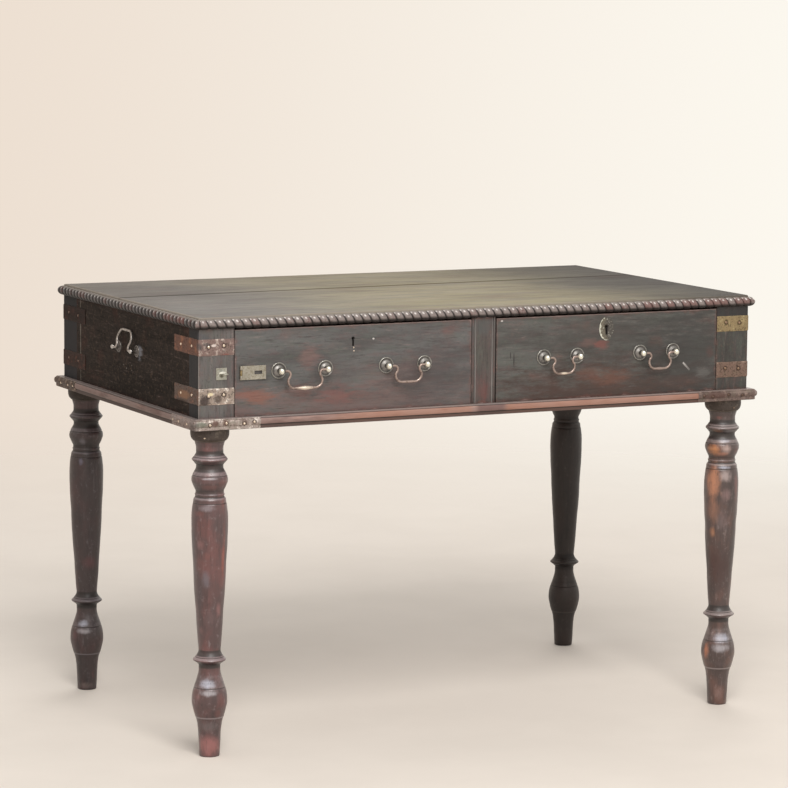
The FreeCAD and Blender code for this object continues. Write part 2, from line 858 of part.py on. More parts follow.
os.makedirs("parts", exist_ok=True)
build_case()
build_drawer(
    "left",
    -1,
    [
        ("left", -outer_handle_off, large_span, large_drop, large_grip_r),
        ("right", inner_handle_off, left_inner_span, common_drop, common_grip_r),
    ],
)
build_drawer(
    "right",
    1,
    [
        ("left", -inner_handle_off, right_inner_span, common_drop, common_grip_r),
        ("right", outer_handle_off, right_outer_span, common_drop, common_grip_r),
    ],
)
save("hasp_leaf", hasp_leaf())
save("hasp_fixed_leaf", hasp_fixed_leaf())
save("hasp_pin", barrel(hasp_pin_r, -hasp_height / 2, hasp_height / 2))
save("drawer_right_keyhole_plate", keyhole_plate(drawer_centre + keyhole_off))
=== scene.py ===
import math
import random

import bmesh
import bpy
from mathutils import Matrix, Vector, noise


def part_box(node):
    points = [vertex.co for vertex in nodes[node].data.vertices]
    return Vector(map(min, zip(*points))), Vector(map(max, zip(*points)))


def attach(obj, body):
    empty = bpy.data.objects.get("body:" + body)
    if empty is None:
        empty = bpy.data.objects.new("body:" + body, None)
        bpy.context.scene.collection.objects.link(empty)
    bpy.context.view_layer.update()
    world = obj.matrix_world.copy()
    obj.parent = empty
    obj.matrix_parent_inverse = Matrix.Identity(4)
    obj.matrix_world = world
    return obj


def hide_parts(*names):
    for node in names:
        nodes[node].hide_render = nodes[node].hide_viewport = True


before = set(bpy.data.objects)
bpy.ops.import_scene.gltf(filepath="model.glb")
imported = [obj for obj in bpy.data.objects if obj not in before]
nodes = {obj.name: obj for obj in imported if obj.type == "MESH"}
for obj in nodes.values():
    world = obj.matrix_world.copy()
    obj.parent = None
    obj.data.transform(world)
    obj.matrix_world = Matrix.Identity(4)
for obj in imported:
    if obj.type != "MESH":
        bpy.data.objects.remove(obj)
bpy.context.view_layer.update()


# ---------------------------------------------------------------- the case
# Corner posts, let-in end panels and back, and the muntin between the drawers, of a dense dark hardwood
# under old wax. It is grey-brown where it is handled, near black on the ends, and rubbed to red or to
# pale wood along its arrises. The inside is plain oiled hardwood that never had any polish.


def tint(colour):
    """A colour by its usual 0 to 255 numbers, as the linear values that a shader takes."""
    linear = [(c / 255 / 12.92) if c <= 10 else ((c / 255 + 0.055) / 1.055) ** 2.4 for c in colour]
    return (*linear, 1.0)


class Shade:
    """A socket of a finish. Sums written with it add the nodes that work them out."""

    def __init__(self, socket):
        self.socket = socket

    def node(self, kind, settings=None, inputs=None, output=0):
        tree = self.socket.id_data
        made = tree.nodes.new(kind)
        for name, value in (settings or {}).items():
            setattr(made, name, value)
        for name, value in (inputs or {}).items():
            if isinstance(value, Shade):
                tree.links.new(value.socket, made.inputs[name])
            else:
                made.inputs[name].default_value = value
        return Shade(made.outputs[output]) if made.outputs else None

    def maths(self, operation, *values):
        return self.node("ShaderNodeMath", {"operation": operation}, dict(enumerate(values)))

    def __add__(self, other):
        return self.maths("ADD", self, other)

    def __sub__(self, other):
        return self.maths("SUBTRACT", self, other)

    def __rsub__(self, other):
        return self.maths("SUBTRACT", other, self)

    def __mul__(self, other):
        return self.maths("MULTIPLY", self, other)

    def __truediv__(self, other):
        return self.maths("DIVIDE", self, other)

    def __rtruediv__(self, other):
        return self.maths("DIVIDE", other, self)

    def __abs__(self):
        return self.maths("ABSOLUTE", self)

    __radd__ = __add__
    __rmul__ = __mul__

    def least(self, other):
        return self.maths("MINIMUM", self, other)

    def most(self, other):
        return self.maths("MAXIMUM", self, other)

    def over(self, low, high):
        """0 below low, 1 above high, and smooth between them."""
        ends = {"Value": self, "From Min": low, "From Max": high}
        return self.node("ShaderNodeMapRange", {"interpolation_type": "SMOOTHSTEP"}, ends)

    def under(self, low, high):
        return 1 - self.over(low, high)

    def vector(self, operation, *values, output=0):
        inputs = dict(enumerate((self, *values)))
        return self.node("ShaderNodeVectorMath", {"operation": operation}, inputs, output)

    def axes(self):
        split = self.node("ShaderNodeSeparateXYZ", inputs={0: self}).socket.node
        return [Shade(socket) for socket in split.outputs]

    def noise(self, size, seed=0.0, detail=3.0, rough=0.55, stretch=(1, 1, 1)):
        """Cloudy values about 0.5, with lumps of about this size in metres, longer along a stretched axis."""
        scaled = self.vector("DIVIDE", [size * s for s in stretch])
        inputs = {"Vector": scaled, "W": seed, "Scale": 1.0, "Detail": detail, "Roughness": rough}
        return self.node("ShaderNodeTexNoise", {"noise_dimensions": "4D"}, inputs)

    def mark(self, name):
        """The values of a mark that the piece's points carry."""
        return self.node("ShaderNodeAttribute", {"attribute_name": name}, output=2)

    def coats(self, ground, *coats):
        """A plain ground with coats over it, each (colour, amount)."""
        colour = self.node("ShaderNodeRGB")
        colour.socket.default_value = tint(ground)
        for shade, amount in coats:
            inputs = {0: amount, 6: colour, 7: tint(shade)}
            colour = self.node("ShaderNodeMix", {"data_type": "RGBA"}, inputs, 2)
        return colour


def new_finish(name):
    """A new material, and the place on the desk, in metres, as the start of its sums."""
    finish = bpy.data.materials.new(name)
    finish.use_nodes = True
    finish.node_tree.nodes.clear()
    return finish, Shade(finish.node_tree.nodes.new("ShaderNodeTexCoord").outputs["Object"])


def lay_on(place, colour, rough, height=None, metal=0.0, gloss=0.5, coat=0.0, dull=None):
    """Finishes a material: its colour, roughness and metal, and its height in metres as bumps. Dull is where
    the polish is quite gone."""
    inputs = {"Base Color": colour, "Roughness": rough, "Metallic": metal, "Specular IOR Level": gloss}
    if coat:
        inputs["Coat Weight"], inputs["Coat Roughness"] = coat, 0.35
    if height is not None:
        bump = {"Height": height, "Strength": 1.0, "Distance": 1.0}
        inputs["Normal"] = place.node("ShaderNodeBump", inputs=bump)
    made = place.node("ShaderNodeBsdfPrincipled", inputs=inputs)
    if dull is not None:
        unpolished = {"Base Color": colour, "Roughness": 0.8, "Specular IOR Level": 0.08}
        bare = place.node("ShaderNodeBsdfPrincipled", inputs=unpolished)
        made = place.node("ShaderNodeMixShader", inputs={0: dull, 1: made, 2: bare})
    place.node("ShaderNodeOutputMaterial", inputs={"Surface": made})


def spots(place, marks, ragged, seed, step=7, axis=0, grain=(1, 1, 1), core=0.2):
    """Coats for marks of (centre, half-sizes, colour, amount), full at their cores and with ragged rims. Their
    seeds differ by a step for each metre along an axis."""
    coats = []
    for centre, reach, shade, amount in marks:
        away = place.vector("SUBTRACT", centre).vector("DIVIDE", reach).vector("LENGTH", output=1)
        rim = place.noise(0.009, seed + centre[axis] * step, 6, 0.75, grain) - 0.5
        coats.append((shade, (away + rim * ragged).under(core, 1.15) * amount))
    return coats


def from_arris(place, low, high):
    """The distance from a squared board's nearest arris, in metres."""
    half = (Vector(high) - Vector(low)) / 2
    out = place.vector("SUBTRACT", (Vector(low) + Vector(high)) / 2).vector("ABSOLUTE")
    a, b, c = [half[i] - side for i, side in enumerate(out.axes())]
    return a.least(b).most(a.most(b).least(c))


def coat_node(node, finish):
    """Gives a modelled piece its finish."""
    nodes[node].data.materials.clear()
    nodes[node].data.materials.append(finish)


def dress(node, finish, soften=0.0007):
    """Gives a modelled piece its finish, and takes the sharpness off its arrises."""
    coat_node(node, finish)
    piece = nodes[node]
    weld = piece.modifiers.new("one_skin", "WELD")
    weld.merge_threshold = 0.00002
    flat = piece.modifiers.new("flat_faces", "DECIMATE")
    flat.decimate_type, flat.angle_limit = "DISSOLVE", math.radians(0.5)
    arris = piece.modifiers.new("eased_arris", "BEVEL")
    arris.width, arris.segments, arris.limit_method = soften, 2, "ANGLE"
    arris.angle_limit, arris.harden_normals = math.radians(40), True


dark_grain, red_rub, pale_rub = (44, 37, 35), (116, 62, 50), (168, 146, 138)


def timber(node, name, run, seed, base, dark=dark_grain, red=0.25, wear=0.6, rough=0.45, gloss=0.5,
           patches=(), pins=(), grime=0.0, tinge=0.0, matt_x=None, soften=0.0007):
    """Dresses one board whose grain runs along x, y or z. Patches are marks of (centre, half-sizes, colour,
    amount), and pins are small crisp ones. Grime is a fine mottle over the whole board, and tinge is how far
    it strays to green and to red. The face at matt_x has no polish."""
    finish, place = new_finish(name)
    lengths = {much: [much if axis == run else 1 for axis in "xyz"] for much in (4, 6, 8, 30)}
    figure = place.noise(0.030, seed, 4, 0.6, lengths[6])
    streak = place.noise(0.0045, seed + 3, 6, 0.72, lengths[8])
    pores = place.noise(0.0016, seed + 7, 2, 0.5, lengths[30]).over(0.60, 0.72)
    cloud = place.noise(0.055, seed + 11, 3, 0.5)
    coats = [(dark, figure.over(0.42, 0.68) * 0.55), (dark, streak.over(0.50, 0.70) * 0.65),
             (pale_rub, streak.under(0.28, 0.45) * 0.26),
             (red_rub, cloud.over(0.52, 0.70) * figure.under(0.35, 0.60) * red)]
    if grime:
        mottle = place.noise(0.0060, seed + 13, 6, 0.75)
        coats += [((96, 80, 66), mottle.over(0.52, 0.66) * grime), (dark, mottle.under(0.36, 0.46) * grime)]
    if tinge:
        stray = place.noise(0.014, seed + 19, 5, 0.75, lengths[4])
        coats += [((104, 72, 72), stray.over(0.50, 0.66) * tinge),
                  ((84, 93, 82), stray.under(0.34, 0.50) * tinge)]
    coats += spots(place, patches, 3.0, seed, grain=lengths[4])
    edge = from_arris(place, *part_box(node))
    ragged = place.noise(0.018, seed + 17, 5, 0.7) - 0.42
    coats += [(dark, pores * 0.55), (red_rub, (edge + ragged * 0.030).under(0.0005, 0.0075) * wear * 0.55),
              (pale_rub, (edge + ragged * 0.016).under(0.0001, 0.0016) * wear * 0.7)]
    coats += spots(place, pins, 0.5, seed, core=0.8)
    sheen = (figure - 0.5) * 0.25 + rough + pores * 0.15
    height = streak * 0.00012 - pores * 0.00010 + cloud * 0.0003
    dull = None if matt_x is None else abs(place.axes()[0] - matt_x).under(0.0003, 0.0012)
    lay_on(place, place.coats(base, *coats), sheen, height, gloss=gloss, dull=dull)
    dress(node, finish, soften)


# The front right post's darker ground paints the case darker towards the right, as painted shade.
post_looks = {  # ground, roughness, gloss
    "front_left": ((96, 92, 90), 0.45, 0.5), "front_right": ((66, 64, 61), 0.48, 0.4),
    "back_left": ((50, 44, 40), 0.6, 0.15), "back_right": ((50, 44, 40), 0.6, 0.15),
}
for number, (corner, (base, rough, gloss)) in enumerate(post_looks.items()):
    low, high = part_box("corner_post_" + corner)
    outer_x = low.x if "left" in corner else high.x
    # Each post's outer face is painted darker all over.
    worn_and_painted_light = [((outer_x, (low.y + high.y) / 2, (low.z + high.z) / 2), (0.0012, 0.9, 0.9), (58, 57, 58), 0.85)]
    if corner == "front_left":
        worn_and_painted_light += [((outer_x, low.y, 0.650), (0.0013, 0.0013, 0.090), (156, 148, 142), 0.6),
                   ((-0.552, low.y, 0.735), (0.020, 0.010, 0.018), (70, 72, 76), 0.5),
                   ((high.x, low.y, 0.680), (0.0030, 0.010, 0.090), (50, 43, 42), 0.85)]
    if corner == "front_right":
        # A dark band at the top of the front right post, under the rope bead, is a painted shadow.
        worn_and_painted_light += [((0.535, low.y, 0.752), (0.060, 0.010, 0.022), (34, 33, 34), 0.75)]
    timber("corner_post_" + corner, "post_wood_" + corner, "z", 20 + number, base, wear=0.35, rough=rough,
           gloss=gloss, pins=worn_and_painted_light, grime=0.45, tinge=0.3, matt_x=outer_x)

end_pins = {  # y, z and size
    "left": [(0.021, 0.660, 0.0014), (-0.0185, 0.663, 0.0012), (0.0076, 0.655, 0.0016),
             (-0.0185, 0.654, 0.0010)],
    "right": [(0.012, 0.651, 0.0012), (-0.030, 0.668, 0.0010)],
}
for number, (side, marks) in enumerate(end_pins.items()):
    low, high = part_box("side_panel_" + side)
    outer_x = low.x if side == "left" else high.x
    pins = [((outer_x, y, z), (0.01, size, size), (150, 142, 134), 0.7) for y, z, size in marks]
    worn_and_painted_light = [((outer_x, -0.056, 0.690), (0.02, 0.016, 0.015), (150, 150, 156), 0.75),
              ((outer_x, 0.045, 0.690), (0.02, 0.016, 0.012), (110, 104, 100), 0.5),
              ((outer_x, 0.242, 0.682), (0.02, 0.0030, 0.120), (128, 120, 110), 0.7)]
    timber("side_panel_" + side, "end_wood_" + side, "y", 30 + number, (46, 39, 35), (20, 17, 15), red=0.15,
           wear=0.2, rough=0.75, gloss=0.10, patches=worn_and_painted_light, pins=pins, grime=0.55)
timber("back_panel", "back_wood", "x", 40, (48, 41, 37), wear=0.2, rough=0.7, gloss=0.2)

low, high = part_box("centre_muntin")
worn_and_painted_light = [((0.0, low.y, 0.628), (0.012, 0.01, 0.030), (104, 60, 56), 0.55),
          ((0.0, low.y, 0.745), (0.030, 0.01, 0.022), (74, 79, 78), 0.6)]
lines = [((x, low.y, 0.66), (wide, 0.01, 0.13), shade, 0.6)
         for inset, wide, shade in ((0.0068, 0.0016, (150, 146, 142)), (0.0010, 0.0020, (74, 70, 68)))
         for x in (low.x + inset, high.x - inset)]
timber("centre_muntin", "muntin_wood", "z", 50, (78, 70, 67), red=0.35, wear=0.7, patches=worn_and_painted_light, pins=lines,
       grime=0.3, tinge=0.3, soften=0.0004)

inside_runs = {"base_board": "x", "centre_partition": "y", "drawer_guides": "y", "drawer_stops": "x"}
for number, (node, run) in enumerate(inside_runs.items()):
    timber(node, node + "_wood", run, 60 + number, (96, 72, 52), (58, 42, 30), wear=0.2, rough=0.7, gloss=0.3,
           soften=0.0004)


# ---------------------------------------------------------------- the base moulding
# Four mitred lengths glued round the base board: a full round between a thin fillet and a low fillet. The
# round is rubbed to its red wood. Painted shade lies in the quirks above and below it and on the low fillet, a
# painted highlight runs along the thin fillet, and the back and left lengths are painted darker as painted
# shade.

case_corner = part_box("corner_post_back_right")[1]
half_long, half_deep = case_corner.x, case_corner.y
sides = {  # the way it runs, the way it faces, half its length, and its distance from the middle
    "front": (Vector((1, 0, 0)), Vector((0, -1, 0)), half_long, half_deep),
    "right": (Vector((0, 1, 0)), Vector((1, 0, 0)), half_deep, half_long),
    "back": (Vector((-1, 0, 0)), Vector((0, 1, 0)), half_long, half_deep),
    "left": (Vector((0, -1, 0)), Vector((-1, 0, 0)), half_deep, half_long),
}


def ripple(point, size, seed=0.0):
    """A smooth chance value from -1 to 1 that changes over this size in metres."""
    return noise.noise(Vector(point) / size + Vector((seed * 3.7, seed * 1.3, seed * 2.1)))


def stand(name, data):
    obj = bpy.data.objects.new(name, data)
    bpy.context.scene.collection.objects.link(obj)
    return obj


def make_piece(name, points, faces, finishes, body, replaced=(), marks=None, finish_of=None, sharp=32):
    """A piece of this shape with its finish, riding on its body. Marks are values for each point."""
    mesh = bpy.data.meshes.new(name)
    mesh.from_pydata(points, [], faces)
    if finish_of:
        mesh.polygons.foreach_set("material_index", finish_of)
    skin = bmesh.new()
    skin.from_mesh(mesh)
    bmesh.ops.recalc_face_normals(skin, faces=skin.faces)
    skin.to_mesh(mesh)
    skin.free()
    mesh.polygons.foreach_set("use_smooth", [True] * len(mesh.polygons))
    mesh.set_sharp_from_angle(angle=math.radians(sharp))
    for mark, values in (marks or {}).items():
        mesh.attributes.new(mark, "FLOAT", "POINT").data.foreach_set("value", values)
    for finish in finishes:
        mesh.materials.append(finish)
    obj = stand(name, mesh)
    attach(obj, body)
    if replaced:
        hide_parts(*replaced)
    return obj


def skin_over(columns, rows, first=0, ends=True):
    """The faces between columns of points, each column a closed outline, with the end ones filled."""
    faces = []
    for c in range(columns - 1):
        for r in range(rows):
            a, b = first + c * rows + r, first + c * rows + (r + 1) % rows
            faces.append((a, b, b + rows, a + rows))
    return faces + ([list(range(rows)), list(range((columns - 1) * rows, columns * rows))] if ends else [])


quirk, low_fillet, cap, swell = 0.011, 0.0065, 0.002, 0.003
base_low, base_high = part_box("base_board")[0].z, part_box("base_board")[1].z
round_low, round_high = base_low + low_fillet, base_high - cap
round_steps = 12


def round_height(step):
    """The height of a point of the moulding's round, so many steps from its foot."""
    middle, half = (round_low + round_high) / 2, (round_high - round_low) / 2
    return middle - half * math.cos(math.pi * step / round_steps)


moulding_outline = [(0, base_low), (quirk - 0.0006, base_low), (quirk, base_low + 0.0006), (quirk, round_low)]
moulding_outline += [(quirk + swell * math.sin(math.pi * step / round_steps) ** 0.8, round_height(step))
                     for step in range(1, round_steps)]
moulding_outline += [(quirk, round_high), (quirk, base_high - 0.0005), (quirk - 0.0005, base_high),
                     (0, base_high)]

for number, (side, (run, face, length, depth)) in enumerate(sides.items()):
    finish, place = new_finish("moulding_wood_" + side)
    x, y, z = place.axes()
    long = [10, 1, 1] if abs(run.x) else [1, 10, 1]
    streak = place.noise(0.006, number, 5, 0.65, long)
    patch = place.noise(0.035, number + 5, 3, 0.6, [s ** 0.5 for s in long])
    # painted_light darkens the back and left lengths all over, as painted shade.
    painted_light = 1.0 if side in ("front", "right") else 0.86
    coats = [((84, 54, 47), patch.over(0.45, 0.65) * 0.6),
             ((182 * painted_light, 146 * painted_light, 132 * painted_light), streak.over(0.54, 0.70) * 0.6),
             ((52, 38, 35), streak.under(0.30, 0.42) * 0.7)]
    if side == "front":
        honeyed = x.over(-0.36, -0.22) * x.under(-0.036, -0.022) + x.over(0.030, 0.046)
        coats += [((170, 120, 97), honeyed * (patch * 0.8 + 0.10)),
                  ((104, 78, 74), x.over(-0.026, -0.012) * x.under(0.030, 0.046) * 0.75)]
    # A painted highlight runs along the thin upper fillet. The low fillet is painted darker, and the quirks
    # above and below the round nearly black, as painted shade.
    fillet_highlight = z.over(round_high - 0.0004, round_high + 0.0003)
    coats += [((66 * painted_light, 50 * painted_light, 45 * painted_light), z.under(round_low - 0.0002, round_low + 0.0006) * 0.85),
              ((138 * painted_light, 129 * painted_light, 126 * painted_light), fillet_highlight * (0.5 + patch * 0.5)),
              ((26, 19, 18), abs(z - round_low).under(0.0004, 0.0014) * 0.85),
              ((34, 25, 23), abs(z - round_high).under(0.0002, 0.0008) * 0.7)]
    colour = place.coats((149 * painted_light, 124 * painted_light, 117 * painted_light), *coats)
    lay_on(place, colour, streak * 0.3 + 0.32, streak * 0.00015, gloss=0.4 if painted_light == 1.0 else 0.2)
    columns = int(2 * (length + quirk) / 0.008)
    points = []
    for c in range(columns + 1):
        along = 2 * c / columns - 1
        for out, z in moulding_outline:
            point = run * (along * (length + out)) + face * (depth + out) + Vector((0, 0, z))
            worn = 0.00035 * max(0.0, ripple(point, 0.016, number))
            worn += 0.00030 * max(0.0, ripple(point, 0.05, 9))
            handled = 0.3 < (z - base_low) / (base_high - base_low) and out > 0
            points.append(point - face * (worn if handled else 0))
    faces = skin_over(columns + 1, len(moulding_outline))
    make_piece("base_moulding_length_" + side, points, faces, [finish], "case",
               ["base_moulding_" + side], sharp=40)


# ---------------------------------------------------------------- the top
# Two wide boards with their edges rounded over by use. The joint between them runs a little out of square
# and has opened to a fine crack. The wax has dulled to an olive grey in the middle and cooler at the ends.

top_low, top_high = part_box("top_board_front")[0].z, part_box("top_board_front")[1].z
joint_left, joint_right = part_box("top_board_back")[0].y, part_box("top_board_front")[1].y
joint_slope, joint_middle = (joint_right - joint_left) / (2 * half_long), (joint_left + joint_right) / 2
crack_left, crack_right, round_over = 0.0008, 0.0004, 0.003
mortise_deep, mortise_clear = 0.011, 0.001


def top_finish(name, seed):
    finish, place = new_finish(name)
    x, y, z = place.axes()
    figure = place.noise(0.026, seed, 4, 0.6, (9, 1, 1))
    streak = place.noise(0.006, seed + 2, 6, 0.65, (22, 1, 1))
    pores = place.noise(0.0018, seed + 4, 2, 0.5, (34, 1, 1)).over(0.58, 0.72)
    cloud = place.noise(0.16, seed + 6, 4, 0.6, (1.8, 1, 1))
    stray = place.noise(0.020, seed + 12, 5, 0.75, (4, 1, 1))
    ragged = place.noise(0.02, seed + 9, 4, 0.6) - 0.5
    grimy = (abs(y - x * joint_slope - joint_middle) + (streak - 0.5) * 0.008).under(0.002, 0.008)
    edge = (half_long - abs(x)).least(half_deep - abs(y))
    scorched = [((-0.36, 0.02, top_high), (0.20, 0.10, 0.05), (52, 46, 42), 0.5),
                ((0.40, -0.05, top_high), (0.16, 0.16, 0.05), (52, 46, 42), 0.5)]
    colour = place.coats(
        (116, 105, 63), ((74, 71, 69), (abs(x - 0.06) + (cloud - 0.5) * 0.5).over(0.10, 0.52)),
        ((62, 52, 42), figure.over(0.45, 0.68) * 0.6), ((98, 68, 62), stray.over(0.50, 0.66) * 0.35),
        ((78, 86, 70), stray.under(0.34, 0.50) * 0.30), ((148, 132, 88), streak.under(0.30, 0.46) * 0.45),
        ((50, 40, 33), streak.over(0.54, 0.70) * 0.6), ((112, 74, 58), cloud.over(0.56, 0.70) * 0.25),
        ((36, 28, 24), pores * 0.6), *spots(place, scorched, 1.0, seed + 8, 0, grain=(9, 2, 1)),
        ((38, 30, 25), grimy * (0.75 - x.over(0.05, 0.40) * 0.40)),
        ((132, 120, 106), (edge + ragged * 0.016).under(0.001, 0.008) * 0.35),
        ((150, 141, 130), edge.under(0.0010, 0.0034) * 0.65), ((66, 57, 42), y.over(-0.30, 0.33) * 0.30),
        ((40, 36, 33), x.over(0.12, 0.50) * 0.60))
    rough = 0.50 + (cloud - 0.5) * 0.35 + (streak - 0.5) * 0.35 + pores * 0.1 + grimy * 0.4
    rough = rough + x.over(0.10, 0.50) * 0.22 + y.over(0.0, 0.34) * 0.03
    height = streak * 0.00018 + figure * 0.0004 + cloud * 0.0020 - pores * 0.00010
    lay_on(place, colour, rough, height, gloss=0.25)
    return finish


def rounded_board(name, corners, outer, finish, node, pockets=()):
    """One board of the top, its outer upper edges rounded over. Pockets underneath are (centre, half width,
    half depth)."""
    wood = bmesh.new()
    low = [wood.verts.new((x, y, top_low)) for x, y in corners]
    high = [wood.verts.new((x, y, top_high)) for x, y in corners]
    wood.faces.new(low[::-1])
    wood.faces.new(high)
    for k in range(4):
        wood.faces.new((low[k], low[(k + 1) % 4], high[(k + 1) % 4], high[k]))
    rounded = [wood.edges.get((high[k], high[(k + 1) % 4])) for k in outer]
    bmesh.ops.bevel(wood, geom=rounded, offset=round_over, segments=5, profile=0.5, affect="EDGES")
    for middle, half_x, half_y in pockets:
        for wall in ((-half_x, 0, 0), (half_x, 0, 0), (0, -half_y, 0), (0, half_y, 0)):
            bmesh.ops.bisect_plane(wood, geom=wood.verts[:] + wood.edges[:] + wood.faces[:],
                                   plane_co=middle + Vector(wall), plane_no=Vector(wall).normalized())
        wood.normal_update()
        mouth = []
        for face in wood.faces:
            away = face.calc_center_median() - middle
            if face.normal.z < -0.9 and abs(away.x) < half_x and abs(away.y) < half_y:
                mouth.append(face)
        sunk = bmesh.ops.extrude_discrete_faces(wood, faces=mouth)["faces"]
        floor = list({v for face in sunk for v in face.verts})
        bmesh.ops.translate(wood, verts=floor, vec=(0, 0, mortise_deep))
    in_order = sorted(wood.verts, key=lambda v: tuple(v.co))
    numbers = {v: k for k, v in enumerate(in_order)}
    points = [v.co.copy() for v in in_order]
    loops = [[numbers[v] for v in face.verts] for face in wood.faces]
    faces = sorted(loop[loop.index(min(loop)):] + loop[:loop.index(min(loop))] for loop in loops)
    wood.free()
    make_piece(name, points, faces, [finish], "case", [node], sharp=25)


mortises = []
for side in ("left", "right"):
    low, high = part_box("drawer_" + side + "_lock_bolt")
    mortises.append((Vector(((low.x + high.x) / 2, (low.y + high.y) / 2, top_low)),
                     (high.x - low.x) / 2 + mortise_clear, (high.y - low.y) / 2 + mortise_clear))
front_corners = [(-half_long, -half_deep), (half_long, -half_deep), (half_long, joint_right - crack_right),
                 (-half_long, joint_left - crack_left)]
back_corners = [(-half_long, joint_left + crack_left), (half_long, joint_right + crack_right),
                (half_long, half_deep), (-half_long, half_deep)]
rounded_board("top_front_board", front_corners, (0, 1, 3), top_finish("top_wood_front", 70),
              "top_board_front", mortises)
rounded_board("top_back_board", back_corners, (1, 2, 3), top_finish("top_wood_back", 90), "top_board_back")


# ---------------------------------------------------------------- the rope bead
# Four mitred half-round beads glued round the top's edge and carved by hand as a rope. The strands lean one
# way and no two are quite alike. Their backs are pale, partly as wear and partly as painted light, with red
# where the stain has gone. The grooves and the rope's lower half are painted near black as painted shade,
# small painted highlights sit high on each strand, and its top is painted lighter as a painted reflection.

bead_low, bead_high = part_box("rope_bead_front")
bead_reach = -bead_low.y - half_deep
strand_pitch, carve_depth, strand_lean, corner_run, mitre_run = 0.0163, 0.30, 0.50, 0.026, 0.008
around_steps, steps_per_strand = 14, 12


def rope_finish(side, number):
    finish, place = new_finish("rope_wood_" + side)
    crest, upper, fleck = place.mark("crest"), place.mark("upper"), place.noise(0.004, number, 4, 0.65)
    # The end lengths are painted darker, with blacker grooves and weaker painted highlights, as painted shade.
    gap, back, worn, shine = 0.36, 0.86, (133, 122, 118), 0.80
    if side in ("left", "right"):
        gap, back, worn, shine = 0.62, 0.99, (84, 81, 82), 0.50
    reddened = (place.mark("tone") + (fleck - 0.5) * 1.4).over(0.50, 0.90) * crest.over(0.2, 0.6)
    glinting = (place.mark("glint") + (fleck - 0.5) * 1.2).over(0.34, 0.85)
    # The near-black ground shows in the grooves as painted shade, and the crest colour is partly worn wood and
    # partly painted light. The lower half is painted near black as painted shade, the top is painted lighter
    # as a painted reflection, and glinting adds painted highlights.
    colour = place.coats(
        (24, 18, 17), (worn, crest.over(gap, back)), ((116, 72, 66), reddened * 0.60),
        ((52, 42, 40), fleck.over(0.52, 0.68) * 0.6), ((20, 15, 14), upper.under(0.20, 0.50) * 0.92),
        ((120, 112, 104), upper.over(0.84, 0.98) * 0.70), ((232, 226, 220), glinting * shine))
    lay_on(place, colour, 0.60 - crest * 0.16, fleck * 0.0006, gloss=0.35)
    return finish


for number, (side, (run, face, length, depth)) in enumerate(sides.items()):
    chance = random.Random(100 + number)
    end = length + bead_reach
    squeeze = end - bead_reach - mitre_run
    strands = round(2 * end / strand_pitch)
    pitch = 2 * end / strands
    depths = [chance.uniform(0.85, 1.15) for _ in range(strands + 2)]
    fats = [chance.uniform(0.965, 1.0) for _ in range(strands + 2)]
    tones = [chance.random() * 0.75 + 0.35 * (k / strands) ** 3 for k in range(strands + 2)]
    columns = strands * steps_per_strand
    points, marks = [], {"crest": [], "tone": [], "upper": [], "glint": []}
    for c in range(columns + 1):
        a = -end + 2 * end * c / columns
        upright = min(1.0, (end - abs(a)) / corner_run)
        for r in range(around_steps + 1):
            turn = math.pi * (r / around_steps - 0.5)
            up = math.sin(turn)
            phase = (a + end) / pitch + 0.5 + strand_lean * upright * up * 0.5
            strand = max(0, min(strands + 1, math.floor(phase)))
            t = 2 * (phase - math.floor(phase)) - 1
            lump = math.sqrt(max(0.0, 1 - abs(t) ** 2.2))
            size = fats[strand] * (1 - carve_depth * depths[strand] * (1 - lump))
            out = bead_reach * math.cos(turn) * size
            z = (bead_low.z + bead_high.z) / 2 + (bead_high.z - bead_low.z) / 2 * up * (0.45 + 0.55 * size)
            at = abs(a)
            if at > squeeze:
                at = squeeze + (at - squeeze) * (length + out - squeeze) / (end - squeeze)
            points.append(run * math.copysign(at, a) + face * (depth + out) + Vector((0, 0, z)))
            # Where the painted highlights sit: high on each strand's back and on its left shoulder.
            on_back = math.exp(-(((t + 0.05) / 0.30) ** 2) - ((up - 0.58) / 0.26) ** 2)
            on_shoulder = math.exp(-(((t + 0.72) / 0.20) ** 2) - ((up - 0.80) / 0.20) ** 2)
            values = (lump, tones[strand], 0.5 + 0.5 * up, on_back + on_shoulder * 0.9)
            for mark, value in zip(marks.values(), values):
                mark.append(value)
    make_piece("rope_bead_length_" + side, points, skin_over(columns + 1, around_steps + 1),
               [rope_finish(side, number)], "case", ["rope_bead_" + side], marks, sharp=70)


# ---------------------------------------------------------------- corner straps
# Thin brass straps folded round the corners of the case, two at each corner, their rims hammered down and
# held by round-headed nails. The metal has gone coppery, with pale worn rims and dirt round the nails.


